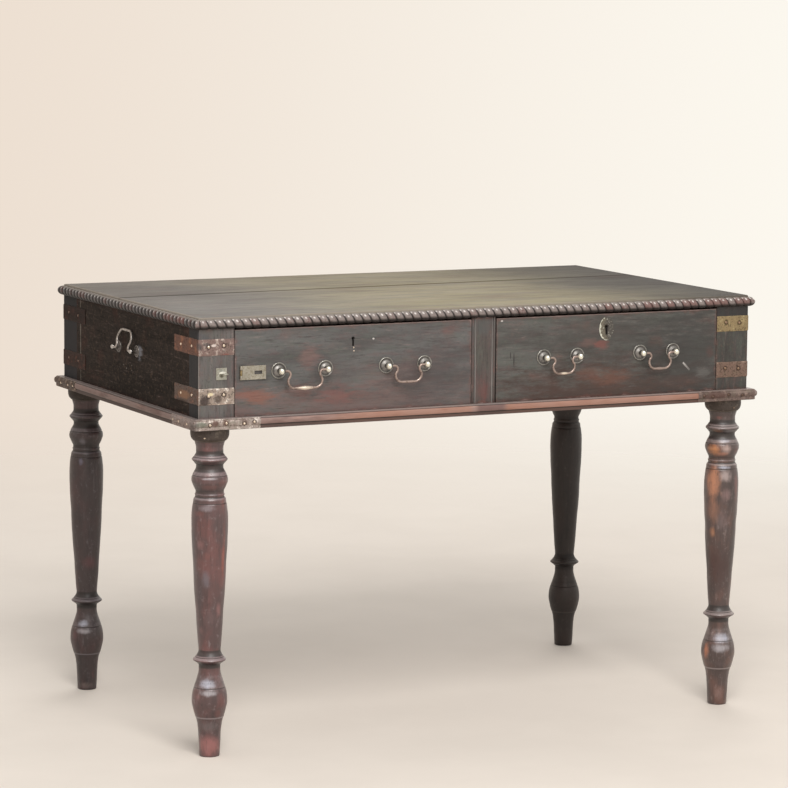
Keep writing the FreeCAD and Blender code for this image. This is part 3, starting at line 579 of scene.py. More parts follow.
def old_brass(name, base, pale, dark, seed, metal=0.75, rough=0.42, worn=0.5, green=0.15, shaded_x=0.0,
              shade=(), marks=()):
    """Thin sheet brass with tarnish, wear and its marks. Beyond shaded_x, on the end face, it is duller and
    painted in two colours of its own, partly as painted shade.
    """
    finish, place = new_finish(name)
    halo, rim = place.mark("halo"), place.mark("rim")
    cloud, fleck = place.noise(0.011, seed, 4, 0.65), place.noise(0.0032, seed + 2, 4, 0.7)
    coats = [(pale, (cloud + (fleck - 0.5) * 0.5).over(0.52, 0.64) * worn),
             ((104, 110, 88), cloud.under(0.36, 0.48) * green), (dark, fleck.over(0.50, 0.62) * 0.75),
             (pale, (rim + (cloud - 0.5) * 3.0 + (fleck - 0.5) * 1.5).over(0.9, 1.4) * 0.75),
             (dark, (halo + (fleck - 0.5) * 0.9).over(0.35, 0.75) * 0.85)]
    dull = None
    if shaded_x:
        x = place.axes()[0]
        to_left, to_right = (shaded_x - 0.0004, shaded_x), (shaded_x, shaded_x + 0.0004)
        end_face = x.under(*to_left) if shaded_x < 0 else x.over(*to_right)
        # The end face's own colours, partly painted shade.
        coats += [(shade[0], end_face * (0.55 + cloud * 0.6)),
                  (shade[1], end_face * (cloud + (fleck - 0.5) * 0.6).over(0.50, 0.62) * 0.6),
                  (dark, end_face * fleck.over(0.48, 0.60) * 0.6)]
        dull = end_face * 0.8
    coats += spots(place, marks, 0.9, seed, 9, axis=2, core=0.5)
    lay_on(place, place.coats(base, *coats), fleck.over(0.48, 0.66) * 0.25 + rough + halo * 0.2 - rim * 0.08,
           fleck * 0.0003 + cloud * 0.0006, metal - fleck.over(0.50, 0.66) * 0.35, dull=dull)
    return finish


def nail_brass(name, pale, seed):
    finish, place = new_finish(name)
    fleck = place.noise(0.0020, seed, 3, 0.6)
    colour = place.coats(pale, ((78, 62, 48), fleck.over(0.52, 0.70) * 0.6))
    lay_on(place, colour, 0.3, fleck * 0.0002, metal=0.8)
    return finish


def nail_head(points, faces, at, out, radius, height):
    """Adds a domed nail head that stands on a point and faces out. It is closed underneath."""
    first, spokes, rings, sunk = len(points), 12, 4, 0.0006
    flat = out.orthogonal().normalized()
    across_flat = out.cross(flat)
    for ring in range(rings):
        turn = math.pi / 2 * ring / rings
        for k in range(spokes):
            spin = math.tau * k / spokes
            way = flat * math.cos(spin) + across_flat * math.sin(spin)
            points.append(at + way * radius * math.cos(turn) + out * height * math.sin(turn))
    points.append(at + out * height)
    points.extend(at - out * sunk + (points[first + k] - at) for k in range(spokes))
    crown, under = first + rings * spokes, first + rings * spokes + 1
    for ring in range(rings):
        for k in range(spokes):
            a, b = first + ring * spokes + k, first + ring * spokes + (k + 1) % spokes
            faces.append((a, b, b + spokes, a + spokes) if ring < rings - 1 else (a, b, crown))
    for k in range(spokes):
        faces.append((first + (k + 1) % spokes, first + k, under + k, under + (k + 1) % spokes))
    faces.append([under + k for k in range(spokes)][::-1])


def bell(away, reach):
    """1 at no distance, falling smoothly to about a third at this reach."""
    return math.exp(-((away / reach) ** 2))


def sheet_metal(name, rows_of, nails, finishes, replaced, rim_reach, halo_reach, nail_size):
    """A beaten strap. rows_of holds rows of (outer point, point on the wood), all of one length."""
    wide, long = len(rows_of[0]), len(rows_of)
    points = [p[0] for row in rows_of for p in row] + [p[1] for row in rows_of for p in row]
    faces = []
    for i in range(long - 1):
        for j in range(wide - 1):
            a, b = i * wide + j, (i + 1) * wide + j
            faces.append((a, b, b + 1, a + 1))
            faces.append([long * wide + k for k in (a, a + 1, b + 1, b)])
    border = [i * wide for i in range(long)] + [(long - 1) * wide + j for j in range(1, wide)]
    border += [i * wide + wide - 1 for i in range(long - 2, -1, -1)] + list(range(wide - 2, 0, -1))
    faces += [(a, b, b + long * wide, a + long * wide) for a, b in zip(border, border[1:] + border[:1])]
    halos, rims = [], []
    for row in rows_of:
        for at, _ in row:
            near = min((at - nail).length for nail, _ in nails)
            halos.append(bell(near, halo_reach))
            to_rim = min((row[0][0] - at).length, (row[-1][0] - at).length)
            rims.append(bell(to_rim, rim_reach))
    sheet_faces, sheet_points = len(faces), len(points)
    for at, out in nails:
        nail_head(points, faces, at, out, *nail_size)
    spare = len(points) - sheet_points
    marks = {"halo": halos * 2 + [0.0] * spare, "rim": rims * 2 + [1.0] * spare}
    finish_of = [0] * sheet_faces + [1] * (len(faces) - sheet_faces)
    make_piece(name, points, faces, finishes, "case", [replaced], marks, finish_of, sharp=50)


def round_corner(along, deep, front_run, front_steps, fold_steps, side_run, side_steps, nails, nail_out):
    """The stations of a strap round a corner, as (distance from the corner, foot, way out), and its nails, as
    (place, way out). Nails come as (distance, height), and distances on the side are minus."""
    corner = Vector((along * half_long, deep * half_deep, 0))
    face_out, side_out = Vector((0, deep, 0)), Vector((along, 0, 0))
    foot = lambda away: corner - (side_out * away if away > 0 else face_out * -away)
    aways = [front_run * (1 - k / front_steps) for k in range(front_steps)] + [0] * (fold_steps + 1)
    aways += [-side_run * k / side_steps for k in range(1, side_steps + 1)]
    stations = []
    for k, away in enumerate(aways):
        fold = min(1.0, max(0.0, (k - front_steps) / fold_steps)) * math.pi / 2
        out = face_out * math.cos(fold) + side_out * math.sin(fold)
        stations.append((away, foot(away), out.normalized()))
    heads = []
    for away, z in nails:
        way = face_out if away > 0 else side_out
        heads.append((foot(away) + Vector((0, 0, z)) + way * nail_out, way))
    return stations, heads


def dented(thick, at, out, heads, deep, reach):
    """A thickness at a point, less the dents that the hammer left round the nails."""
    for head, way in heads:
        if way.dot(out) > 0.7:
            thick -= deep * bell((at - head).length, reach)
    return thick


strap_thick = -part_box("corner_straps_upper")[0].y - half_deep
front_reach = half_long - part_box("corner_post_front_right")[0].x - 0.0003
side_reach = {"front": 0.107, "back": 0.115}
strap_nails = [(0.0475, 0.0025), (0.0190, 0.0010), (-0.029, 0.001), (-0.078, -0.0005)]
dent, strap_rows = 0.00045, 15


def corner_strap(name, along, deep, low, high, finishes, seed, replaced):
    """A strap round one corner of the case, its nails low in dents of their own."""
    nails = [(away, (low + high) / 2 + up) for away, up in strap_nails]
    side_run = side_reach["front" if deep < 0 else "back"]
    stations, heads = round_corner(along, deep, front_reach, 32, 4, side_run, 48, nails, strap_thick * 0.75)
    rows_of = []
    for away, foot, out in stations:
        row = []
        for j in range(strap_rows + 1):
            t = j / strap_rows
            sway = ripple((away, t > 0.5, seed), 0.014, seed) * 0.0006 * abs(2 * t - 1) ** 3
            z = low + 0.0004 + (high - low - 0.0008) * t + sway
            at = foot + Vector((0, 0, z))
            thick = strap_thick * (0.55 + 0.45 * min(1.0, min(t, 1 - t) * (high - low) / 0.0015))
            beat = ripple((away, z, seed), 0.009, 1) * 0.35 + ripple((away, z, seed), 0.004, 2) * 0.2
            thick += beat * dent
            thick = max(0.00015, dented(thick, at, out, heads, dent, 0.0048))
            row.append((at + out * thick, at + out * 0.00002))
        rows_of.append(row)
    sheet_metal(name, rows_of, heads, finishes, replaced, 0.004, 0.006, (0.0026, 0.0012))


def marks_on(y, deep, *rows):
    """Marks on an upright face at y, from (x, z, half width, half height, colour, amount) in millimetres."""
    return [((x / 1000, y, z / 1000), (wide / 1000, deep, tall / 1000), shade, amount)
            for x, z, wide, tall, shade, amount in rows]


upper_heights = [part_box("corner_straps_upper")[k].z for k in (0, 1)]
lower_heights = [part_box("corner_straps_lower")[k].z for k in (0, 1)]
copper_nails = nail_brass("nail_heads", (224, 206, 186), 3)
dark_nails = nail_brass("nail_heads_dark", (150, 124, 104), 4)
dull_nails = nail_brass("nail_heads_dull", (104, 84, 74), 5)
strap_looks = {  # ground, worn, dirt, nails
    "upper_front_left": ((133, 111, 106), (214, 198, 188), (60, 48, 44), copper_nails),
    "upper_front_right": ((150, 131, 99), (196, 180, 138), (72, 60, 42), dark_nails),
    "upper_back_left": ((33, 25, 22), (56, 40, 35), (20, 16, 15), dull_nails),
    "upper_back_right": ((104, 82, 62), (150, 124, 92), (44, 34, 27), dark_nails),
    "lower_front_left": ((164, 148, 138), (246, 236, 226), (54, 43, 40), copper_nails),
    "lower_front_right": ((126, 103, 92), (166, 142, 128), (64, 50, 43), dark_nails),
    "lower_back_left": ((54, 39, 33), (84, 62, 52), (22, 18, 16), dull_nails),
    "lower_back_right": ((104, 82, 62), (150, 124, 92), (44, 34, 27), dark_nails),
}
shaded_side_looks = {
    "upper_front": ((110, 78, 66), (168, 114, 86)), "lower_front": ((88, 72, 66), (152, 108, 88)),
    "upper_back": ((45, 33, 30), (76, 47, 40)), "lower_back": ((58, 44, 40), (96, 60, 50)),
}
beaten_marks = {
    "upper_front_left": marks_on(
        -half_deep, 0.01,
        (-560, 729.5, 13, 8, (84, 80, 80), 0.75), (-541, 733, 8, 4, (86, 82, 82), 0.70),
        (-527, 731, 6, 2.8, (226, 214, 208), 0.8), (-520, 709, 5, 4, (222, 176, 164), 0.8),
        (-505, 711, 10, 6, (140, 84, 78), 0.7), (-571.2, 718, 3.5, 16, (156, 118, 108), 0.7)),
    "lower_front_left": marks_on(
        -half_deep, 0.01,
        (-544.5, 634, 11, 12, (58, 48, 48), 0.85), (-520, 637, 8, 9, (74, 62, 58), 0.75),
        (-533, 646, 6, 3.5, (240, 226, 190), 0.8), (-510, 626, 12, 4, (206, 182, 168), 0.7),
        (-571.2, 638, 3.5, 16, (214, 178, 166), 0.8)) + [
        ((-half_long, -0.266, 0.6400), (0.01, 0.032, 0.0090), (146, 110, 86), 0.75),
        ((-half_long, -0.258, 0.6260), (0.01, 0.036, 0.0060), (62, 50, 45), 0.6)],
}
for number, (place_of, (base, pale, dark, nails_of)) in enumerate(strap_looks.items()):
    level, end, hand = place_of.split("_")
    along, worn = (-1, 0.7) if hand == "left" else (1, 0.5)
    finish = old_brass("strap_" + place_of, base, pale, dark, 200 + number, worn=worn,
                       shaded_x=along * (half_long + 0.0001), shade=shaded_side_looks[level + "_" + end],
                       marks=beaten_marks.get(place_of, ()))
    corner_strap("corner_strap_" + place_of, along, -1 if end == "front" else 1,
                 *(upper_heights if level == "upper" else lower_heights), [finish, nails_of], 300 + number,
                 "corner_straps_" + level)


# ---------------------------------------------------------------- base straps
# A strap of the same brass is hammered over the base moulding at each corner, so the moulding's shape shows
# through it. Nails in two rows hold it, each in its own dent, and folds stand up between them.

along_front, along_side = 0.112, 0.092
strap_out, strap_y = quirk + strap_thick * 0.9, -half_deep - quirk
strap_outline = [(quirk - 0.002, base_low), (strap_out, base_low + 0.0008)]
strap_outline += [(strap_out + swell * math.sin(math.pi * step / round_steps), round_height(step))
                  for step in range(round_steps + 1)]
strap_outline += [(strap_out, base_high - 0.0012), (quirk + 0.0002, base_high - 0.0004)]
base_nails = [(0.081, 0.0100), (0.0165, 0.0100), (0.047, 0.0120), (0.100, 0.0120), (-0.019, 0.0100),
              (-0.0565, 0.0100), (-0.082, 0.0110)]
folds = [(0.067, 0.0022), (0.095, 0.0018), (0.030, 0.0020), (-0.040, 0.0022)]


def base_strap(name, along, deep, finishes, seed):
    """One base strap, its distances counted from the case's corner: front first, then the side."""
    stations, heads = round_corner(along, deep, along_front, 56, 6, along_side, 46,
                                   [(away, base_low + up) for away, up in base_nails], quirk + swell - 0.0003)
    rows_of = []
    for away, foot, out in stations:
        stretch = 1 / max(abs(out.x), abs(out.y))
        row = []
        for j, (reach, z) in enumerate(strap_outline):
            at = foot + Vector((0, 0, z))
            under, at = at + out * max(0.0, (reach - strap_thick) * stretch), at + out * reach * stretch
            beat = ripple((away * 3, z * 2, seed), 0.016, 1) * 0.0005
            beat += ripple((away * 2, z, seed), 0.006, 2) * 0.0003
            for fold, width in folds:
                uneven = 0.5 + 0.5 * ripple((away, z, 1), 0.01)
                beat += 0.0011 * bell(away - fold, width) * uneven
            beat = dented(beat, at, out, heads, 0.0010, 0.0052)
            beat = max(-0.0006, min(0.00005, beat)) if 1 < j < len(strap_outline) - 2 else 0.0
            row.append((at + out * beat, under))
        rows_of.append(row)
    sheet_metal(name, rows_of, heads, finishes, "base_straps", 0.0032, 0.0055, (0.0024, 0.0011))


base_looks = {
    "front_left": ((168, 154, 148), (248, 240, 230), (72, 56, 50), copper_nails),
    "front_right": ((119, 102, 97), (160, 140, 130), (70, 54, 49), dull_nails),
    "back_left": ((74, 56, 48), (150, 132, 116), (36, 28, 25), copper_nails),
    "back_right": ((98, 78, 62), (150, 126, 100), (46, 36, 30), dark_nails),
}
base_marks = {
    "front_left": marks_on(
        strap_y, 0.02,
        (-556, 595.5, 14, 6, (116, 122, 110), 0.7), (-567, 590, 8, 12, (98, 92, 90), 0.6),
        (-530, 596.5, 8, 7, (96, 68, 60), 0.8), (-511, 597.5, 7, 7, (104, 78, 68), 0.75),
        (-478, 597.5, 12, 6, (96, 76, 68), 0.65)) + [
        ((-0.5840, -0.255, 0.5980), (0.010, 0.006, 0.0140), (196, 200, 186), 0.8)],
    "front_right": marks_on(
        strap_y, 0.02, (480, 596, 30, 8, (92, 66, 60), 0.6), (535, 602, 30, 6, (150, 132, 124), 0.5)),
}
for number, (place_of, (base, pale, dark, nails_of)) in enumerate(base_looks.items()):
    end, hand = place_of.split("_")
    along = -1 if hand == "left" else 1
    # A front base strap's end face takes two colours of its own, partly as painted shade.
    finish = old_brass("base_strap_" + place_of, base, pale, dark, 240 + number, worn=0.75, green=0.35,
                       shaded_x=along * (half_long + quirk - 0.0015) if end == "front" else 0.0,
                       shade=((150, 136, 130), (162, 136, 126)), marks=base_marks.get(place_of, ()))
    base_strap("base_strap_" + place_of, along, -1 if end == "front" else 1, [finish, nails_of], 320 + number)


# ---------------------------------------------------------------- the legs
# Each leg is turned from one piece: a tapered foot under a bulb, a sharp ring, a long vase, two fine fillets,
# a ball, a second ring and a cove that goes up into the collar. Fine lines are cut in with a skew chisel. The
# wood is rubbed to red where it is touched. Its swells and upper slopes carry painted sheen, and its under
# slopes, cut lines and hollows painted shade, near black in the hollows. The back legs are painted darker, as
# painted shade.

head = base_low
low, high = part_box("leg_front_right")
leg_x, leg_y = (low.x + high.x) / 2, -(low.y + high.y) / 2
foot_r, calf_r, bulb_r, neck_r, ring_r = 0.0180, 0.0250, 0.0315, 0.0190, 0.0293
vase_foot_r, vase_r, ball_r, waist_r, high_ring_r, cove_r = 0.0194, 0.0322, 0.0320, 0.0238, 0.0316, 0.0238
leg_outline = [
    (foot_r - 0.0012, 0.0), (foot_r, 0.0014), (0.0204, 0.0480), (0.0218, 0.0595),
    (calf_r - 0.0006, 0.0695, -0.0002), (calf_r + 0.0002, 0.0708), (0.0302, 0.0900, 0.0003),
    (bulb_r, 0.1010, 0.0004), (0.0278, 0.1240, 0.0009), (0.0215, 0.1430, -0.0002), (neck_r, 0.1545, -0.0004),
    (neck_r, 0.1635), (0.0212, 0.1668, -0.0004), (ring_r - 0.0005, 0.1722), (ring_r, 0.1734),
    (ring_r - 0.0005, 0.1746), (0.0256, 0.1778, -0.0002), (0.0250, 0.1792), (0.0215, 0.1835, -0.0006),
    (vase_foot_r, 0.1900, -0.0004), (0.0243, 0.2620, 0.0004),
]
upper_outline = [  # its heights are counted down from the head
    (0.0292, 0.2360, 0.0008), (vase_r, 0.1590, 0.0008), (0.0297, 0.1320, 0.0004), (0.0289, 0.1285),
    (0.0280, 0.1240, 0.0003), (0.0257, 0.1212), (0.0252, 0.1190), (0.0262, 0.1172), (0.0261, 0.1160),
    (0.0248, 0.1142), (0.0249, 0.1095), (0.0303, 0.0980, 0.0004), (ball_r, 0.0920, 0.0004),
    (0.0304, 0.0832, 0.0005), (0.0268, 0.0760, 0.0002), (waist_r, 0.0695, -0.0003), (waist_r, 0.0645),
    (high_ring_r - 0.0005, 0.0562), (high_ring_r, 0.0550), (high_ring_r - 0.0005, 0.0537), (0.0249, 0.0460),
    (cove_r, 0.0420, -0.0003), (cove_r, 0.0350), (0.0252, 0.0280, -0.0003), (0.0264, 0.0240),
    (0.0262, 0.0222), (0.0286, 0.0195), (0.0304, 0.0165), (0.0316, 0.0130), (0.0326, 0.0),
]
leg_outline += [(r, head - down, *bow) for r, down, *bow in upper_outline]
cut_lines = [0.1240, 0.1784, head - 0.0505, head - 0.0832, head - 0.1318]


def bowed(outline, step, cuts=()):
    """The outline as close points. A third number is how far a stretch bows out of its straight line."""
    close = [Vector(outline[0][:2])]
    for r, z, *bow in outline[1:]:
        start, end = close[-1].copy(), Vector((r, z))
        run = end - start
        way = Vector((run.y, -run.x)).normalized()
        count = max(1, round(run.length / step))
        stops = {k / count for k in range(1, count + 1)}
        for cut in cuts:
            stops |= {(cut + off - start.y) / run.y for off in (-0.0012, -0.0005, 0, 0.0005, 0.0012) if run.y}
        for t in sorted(stop for stop in stops if 0 < stop <= 1):
            close.append(start + run * t + way * (bow[0] if bow else 0) * 4 * t * (1 - t))
    return close


def turned(name, outline, axis, finish, replaced, unevenness, seed, lines=()):
    """A turned piece on an upright axis, with marks for its hollows, its swells and its upper slopes."""
    points, marks, spokes = [], {"hollow": [], "swell": [], "slope": []}, 56
    for i, (r, z) in enumerate(outline):
        near = [p[0] for p in outline if abs(p[1] - z) < 0.011]
        mean = sum(near) / len(near)
        below, above = outline[max(0, i - 1)], outline[min(len(outline) - 1, i + 1)]
        slope = (below[0] - above[0]) / max(0.0001, (Vector(above) - Vector(below)).length)
        cut = sum(bell(z - line, 0.0008) for line in lines)
        for k in range(spokes):
            turn = math.tau * k / spokes
            off = ripple((math.cos(turn) * 0.03, math.sin(turn) * 0.03, z), 0.022, seed) * unevenness
            out = r + off - 0.0008 * cut
            points.append(Vector((axis[0] + out * math.cos(turn), axis[1] + out * math.sin(turn), z)))
        marks["hollow"] += [min(1.0, max(0.0, (mean - r) / 0.0020) + cut)] * spokes
        marks["swell"] += [min(1.0, max(0.0, (r - mean) / 0.0014))] * spokes
        marks["slope"] += [0.5 + 0.5 * slope] * spokes
    make_piece(name, points, skin_over(len(outline), spokes), [finish], "case", [replaced], marks,
               sharp=48)


def leg_finish(name, base, red, dark, pale, seed, rough, gloss, sheen, marks):
    finish, place = new_finish(name)
    hollow, swell, slope = place.mark("hollow"), place.mark("swell"), place.mark("slope")
    z = place.axes()[2]
    figure = place.noise(0.020, seed, 4, 0.6, (1, 1, 5))
    streak = place.noise(0.0048, seed + 2, 5, 0.7, (1, 1, 16))
    pores = place.noise(0.0016, seed + 4, 2, 0.5, (1, 1, 26)).over(0.58, 0.72)
    cloud = place.noise(0.045, seed + 6, 3, 0.55, (1, 1, 1.6))
    mottle = place.noise(0.0080, seed + 8, 5, 0.7, (1, 1, 1.5))
    colour = place.coats(
        base, (red, cloud.over(0.44, 0.66) * 0.7), (dark, figure.over(0.50, 0.72) * 0.6),
        (dark, streak.over(0.52, 0.70) * 0.5), (pale, streak.under(0.28, 0.42) * 0.28),
        (pale, mottle.over(0.54, 0.72) * 0.30), (dark, mottle.under(0.28, 0.44) * 0.45),
        *spots(place, marks, 1.4, seed, 9, axis=2, grain=(1, 1, 2)),
        # The coats below paint sheen on the swells and upper slopes, a pale worn line near the foot, and shade
        # on the under slopes, near black in the hollows and cut lines.
        (pale, (swell + (mottle - 0.5) * 1.2).over(0.75, 1.5) * 0.35 * sheen),
        (pale, (slope + (mottle - 0.5) * 0.3).over(0.58, 0.80) * sheen),
        (pale, z.over(0.0690, 0.0706) * z.under(0.0714, 0.0732) * (sheen + 0.2)),
        (dark, slope.under(0.16, 0.42) * 0.7), (dark, pores * 0.5),
        ((22, 16, 15), hollow.over(0.30, 1.0) * 0.85))
    rougher = rough + (figure - 0.5) * 0.3 + hollow * 0.2 + pores * 0.1
    height = streak * 0.00022 + cloud * 0.0006 - pores * 0.00015
    lay_on(place, colour, rougher, height, gloss=gloss, coat=gloss * 0.6)
    return finish


facing, facing_right = Vector((-0.46, -0.89, 0)).normalized(), Vector((0.89, -0.46, 0)).normalized()
mark_r = 0.027


def leg_mark(axis, across, z, wide, tall, shade, amount):
    """A mark on a leg's near side (the marks are wear, painted sheen and painted shade): how far across, from
    -1 to 1, then its height and size in mm.
    """
    at = Vector((*axis, z / 1000)) + facing_right * across * mark_r
    at += facing * mark_r * math.sqrt(1 - across ** 2)
    return at, (wide / 1000, wide / 1000, tall / 1000), shade, amount


# sheen_lilac and sheen_grey mark painted sheen high on the bulges, and shade_dusk and the other dark strips
# down a leg's edges mark painted shade. The back legs' darker grounds and weaker sheen are painted shade.
sheen_lilac, sheen_grey, rosy, russet = (184, 186, 200), (176, 170, 174), (156, 108, 106), (128, 74, 68)
tan, shade_dusk = (176, 120, 82), (58, 48, 52)
leg_looks = {  # ground, red, dark, pale, roughness, gloss, sheen, and marks: worn places, painted sheen and painted shade
    "front_left": ((80, 58, 58), (114, 68, 65), (38, 28, 30), (168, 154, 156), 0.36, 0.6, 0.50, [
        (-0.7, 420, 9, 50, shade_dusk, 0.5), (0.3, 300, 11, 30, (96, 62, 60), 0.5),
        (-0.6, 290, 9, 50, shade_dusk, 0.45), (0.1, 250, 12, 20, (108, 84, 84), 0.4),
        (0.85, 529, 9, 6, rosy, 0.5), (0.10, 482, 18, 7, russet, 0.4), (0.75, 490, 9, 9, russet, 0.5),
        (0.0, 497.5, 17, 2.4, sheen_grey, 0.7), (-0.1, 446, 17, 7, (146, 134, 138), 0.6),
        (-0.5, 436, 13, 6, russet, 0.4), (0.84, 385, 6, 80, (160, 80, 62), 0.85),
        (-0.45, 381, 8, 11, rosy, 0.5), (-0.1, 361, 9, 9, russet, 0.45),
        (-0.90, 380, 9, 90, (62, 56, 62), 0.75), (-0.15, 320, 9, 18, (112, 108, 116), 0.55),
        (0.7, 263, 7, 18, rosy, 0.5), (-0.6, 226, 7, 11, rosy, 0.4), (-0.1, 133, 17, 10, sheen_lilac, 0.9),
        (0.0, 117, 17, 6, sheen_grey, 0.8), (-0.6, 110, 7, 7, rosy, 0.5), (0.6, 80, 9, 8, (104, 58, 54), 0.6),
        (-0.97, 97, 4, 7, (226, 222, 216), 0.8), (0.0, 55, 22, 12, (108, 100, 100), 0.5),
        (0.0, 20, 34, 24, (160, 104, 101), 0.75)]),
    "front_right": ((72, 56, 53), (112, 76, 65), (36, 27, 26), (170, 156, 154), 0.36, 0.6, 0.55, [
        (-0.35, 550, 9, 4, russet, 0.5), (-0.4, 525, 12, 4, tan, 0.8), (0.4, 525, 13, 4, sheen_grey, 0.6),
        (-0.55, 489, 17, 14, (190, 126, 80), 0.9), (0.20, 491, 13, 11, (190, 164, 156), 0.8),
        (0.0, 482, 12, 5, (184, 124, 98), 0.7), (0.85, 489, 9, 11, (112, 62, 58), 0.75),
        (0.1, 507, 14, 4, sheen_lilac, 0.85), (0.05, 456, 14, 3.5, sheen_lilac, 0.75),
        (-0.55, 428, 17, 40, (190, 130, 98), 0.85), (0.2, 440, 14, 14, (178, 160, 156), 0.75),
        (0.85, 420, 9, 40, russet, 0.6), (0.25, 405, 12, 16, (140, 112, 110), 0.6),
        (-0.15, 425, 4.5, 14, (196, 122, 92), 0.7), (-0.15, 392, 4.5, 12, (176, 128, 70), 0.7),
        (-0.5, 375, 13, 34, (150, 106, 84), 0.65), (0.1, 265, 24, 50, (60, 33, 29), 0.75),
        (-0.5, 270, 15, 50, (70, 40, 34), 0.7), (0.0, 355, 14, 24, (120, 102, 102), 0.4),
        (-0.55, 333, 7, 12, tan, 0.6), (0.85, 310, 8, 90, (56, 46, 42), 0.7),
        (0.0, 170, 26, 3, (186, 158, 158), 0.6), (0.2, 130, 18, 11, sheen_lilac, 0.9),
        (0.1, 112, 19, 9, sheen_grey, 0.75), (-0.75, 104, 8, 17, (196, 124, 90), 0.9),
        (0.1, 82, 13, 8, (84, 68, 68), 0.5), (-0.6, 11, 8, 12, (186, 178, 170), 0.8),
        (0.1, 22, 14, 18, (144, 118, 112), 0.6)]),
    "back_left": ((56, 45, 45), (74, 50, 50), (28, 23, 24), (128, 120, 124), 0.42, 0.4, 0.45, [
        (-0.1, 484, 7, 9, (128, 122, 128), 0.6), (-0.2, 444, 6, 9, (134, 130, 150), 0.6),
        (0.3, 250, 18, 16, (92, 54, 56), 0.5), (-0.2, 131, 12, 8, sheen_lilac, 0.75),
        (-0.1, 117, 16, 6, sheen_grey, 0.6), (-0.7, 108, 8, 12, (104, 62, 66), 0.5),
        (0.7, 30, 9, 16, (120, 62, 62), 0.6), (0.0, 8, 24, 9, (120, 104, 100), 0.5)]),
    "back_right": ((38, 31, 29), (46, 34, 31), (22, 18, 17), (84, 76, 72), 0.45, 0.3, 0.25, []),
}
close_outline = bowed(leg_outline, 0.0022, cut_lines)
leg_axes = {corner: (leg_x * (-1 if "left" in corner else 1), leg_y * (-1 if "front" in corner else 1))
            for corner in leg_looks}
for number, (corner, (base, red, dark, pale, rough, gloss, sheen, worn)) in enumerate(leg_looks.items()):
    finish = leg_finish("leg_wood_" + corner, base, red, dark, pale, 400 + number * 10, rough, gloss, sheen,
                        [leg_mark(leg_axes[corner], *mark) for mark in worn])
    turned("turned_leg_" + corner, close_outline, leg_axes[corner], finish, "leg_" + corner,
           0.00035, 40 + number, cut_lines)


# ---------------------------------------------------------------- leg collars
# A funnel of thin sheet metal, dull and greenish, covers each leg's head where it meets the base, held with a
# nail. Its lower edge closes in round the leg and is rubbed pale.

collar_high_r, collar_wall, collar_low, nail_r, nail_up = 0.0345, 0.0015, head - 0.0225, 0.0328, 0.0082
collar_outline = [(r, collar_low + up) for r, up in (
    (0.0265, 0.0004), (0.0272, 0.0), (0.0282, 0.0004), (0.0292, 0.0014), (0.0314, 0.0036), (0.0328, 0.0062),
    (0.0338, 0.0096), (0.0343, 0.0150))]
collar_outline += [(collar_high_r - 0.0006, head), (collar_high_r - collar_wall, head)]


def collar_finish(name, base, pale, seed):
    finish, place = new_finish(name)
    cloud, fleck = place.noise(0.012, seed, 4, 0.6), place.noise(0.003, seed + 1, 4, 0.7)
    lip = place.axes()[2].under(collar_low + 0.0008, collar_low + 0.0024)
    colour = place.coats(base, (pale, cloud.over(0.50, 0.68) * 0.6),
                         ((34, 29, 24), fleck.over(0.52, 0.68) * 0.7), (pale, lip * 0.8))
    lay_on(place, colour, 0.45 + fleck * 0.2, fleck * 0.0004 + cloud * 0.0008, metal=0.55)
    return finish


for number, (corner, axis) in enumerate(leg_axes.items()):
    front = "front" in corner
    # The back collars are painted darker, as painted shade.
    base, pale = ((76, 67, 62), (118, 107, 96)) if front else ((52, 45, 40), (80, 72, 62))
    finish = collar_finish("collar_metal_" + corner, base, pale, 460 + number)
    turned("leg_collar_" + corner, bowed(collar_outline, 0.0012), axis, finish, "leg_collars",
           0.00018, 60 + number)
    points, faces = [], []
    way = Vector((-0.62 if "left" in corner else 0.10, -0.78 if front else 0.9, 0)).normalized()
    nail_head(points, faces, Vector((*axis, collar_low + nail_up)) + way * nail_r, way, 0.0018, 0.0008)
    nail = copper_nails if corner == "front_left" else dark_nails
    make_piece("collar_nail_" + corner, points, faces, [nail], "case")


# ---------------------------------------------------------------- the drawers
# Two dovetailed drawers of the case's dark wood in front, with sides, backs and bottoms of a plainer brown
# one. Hands have greyed the fronts at the top and rubbed them to red and orange below the handles.

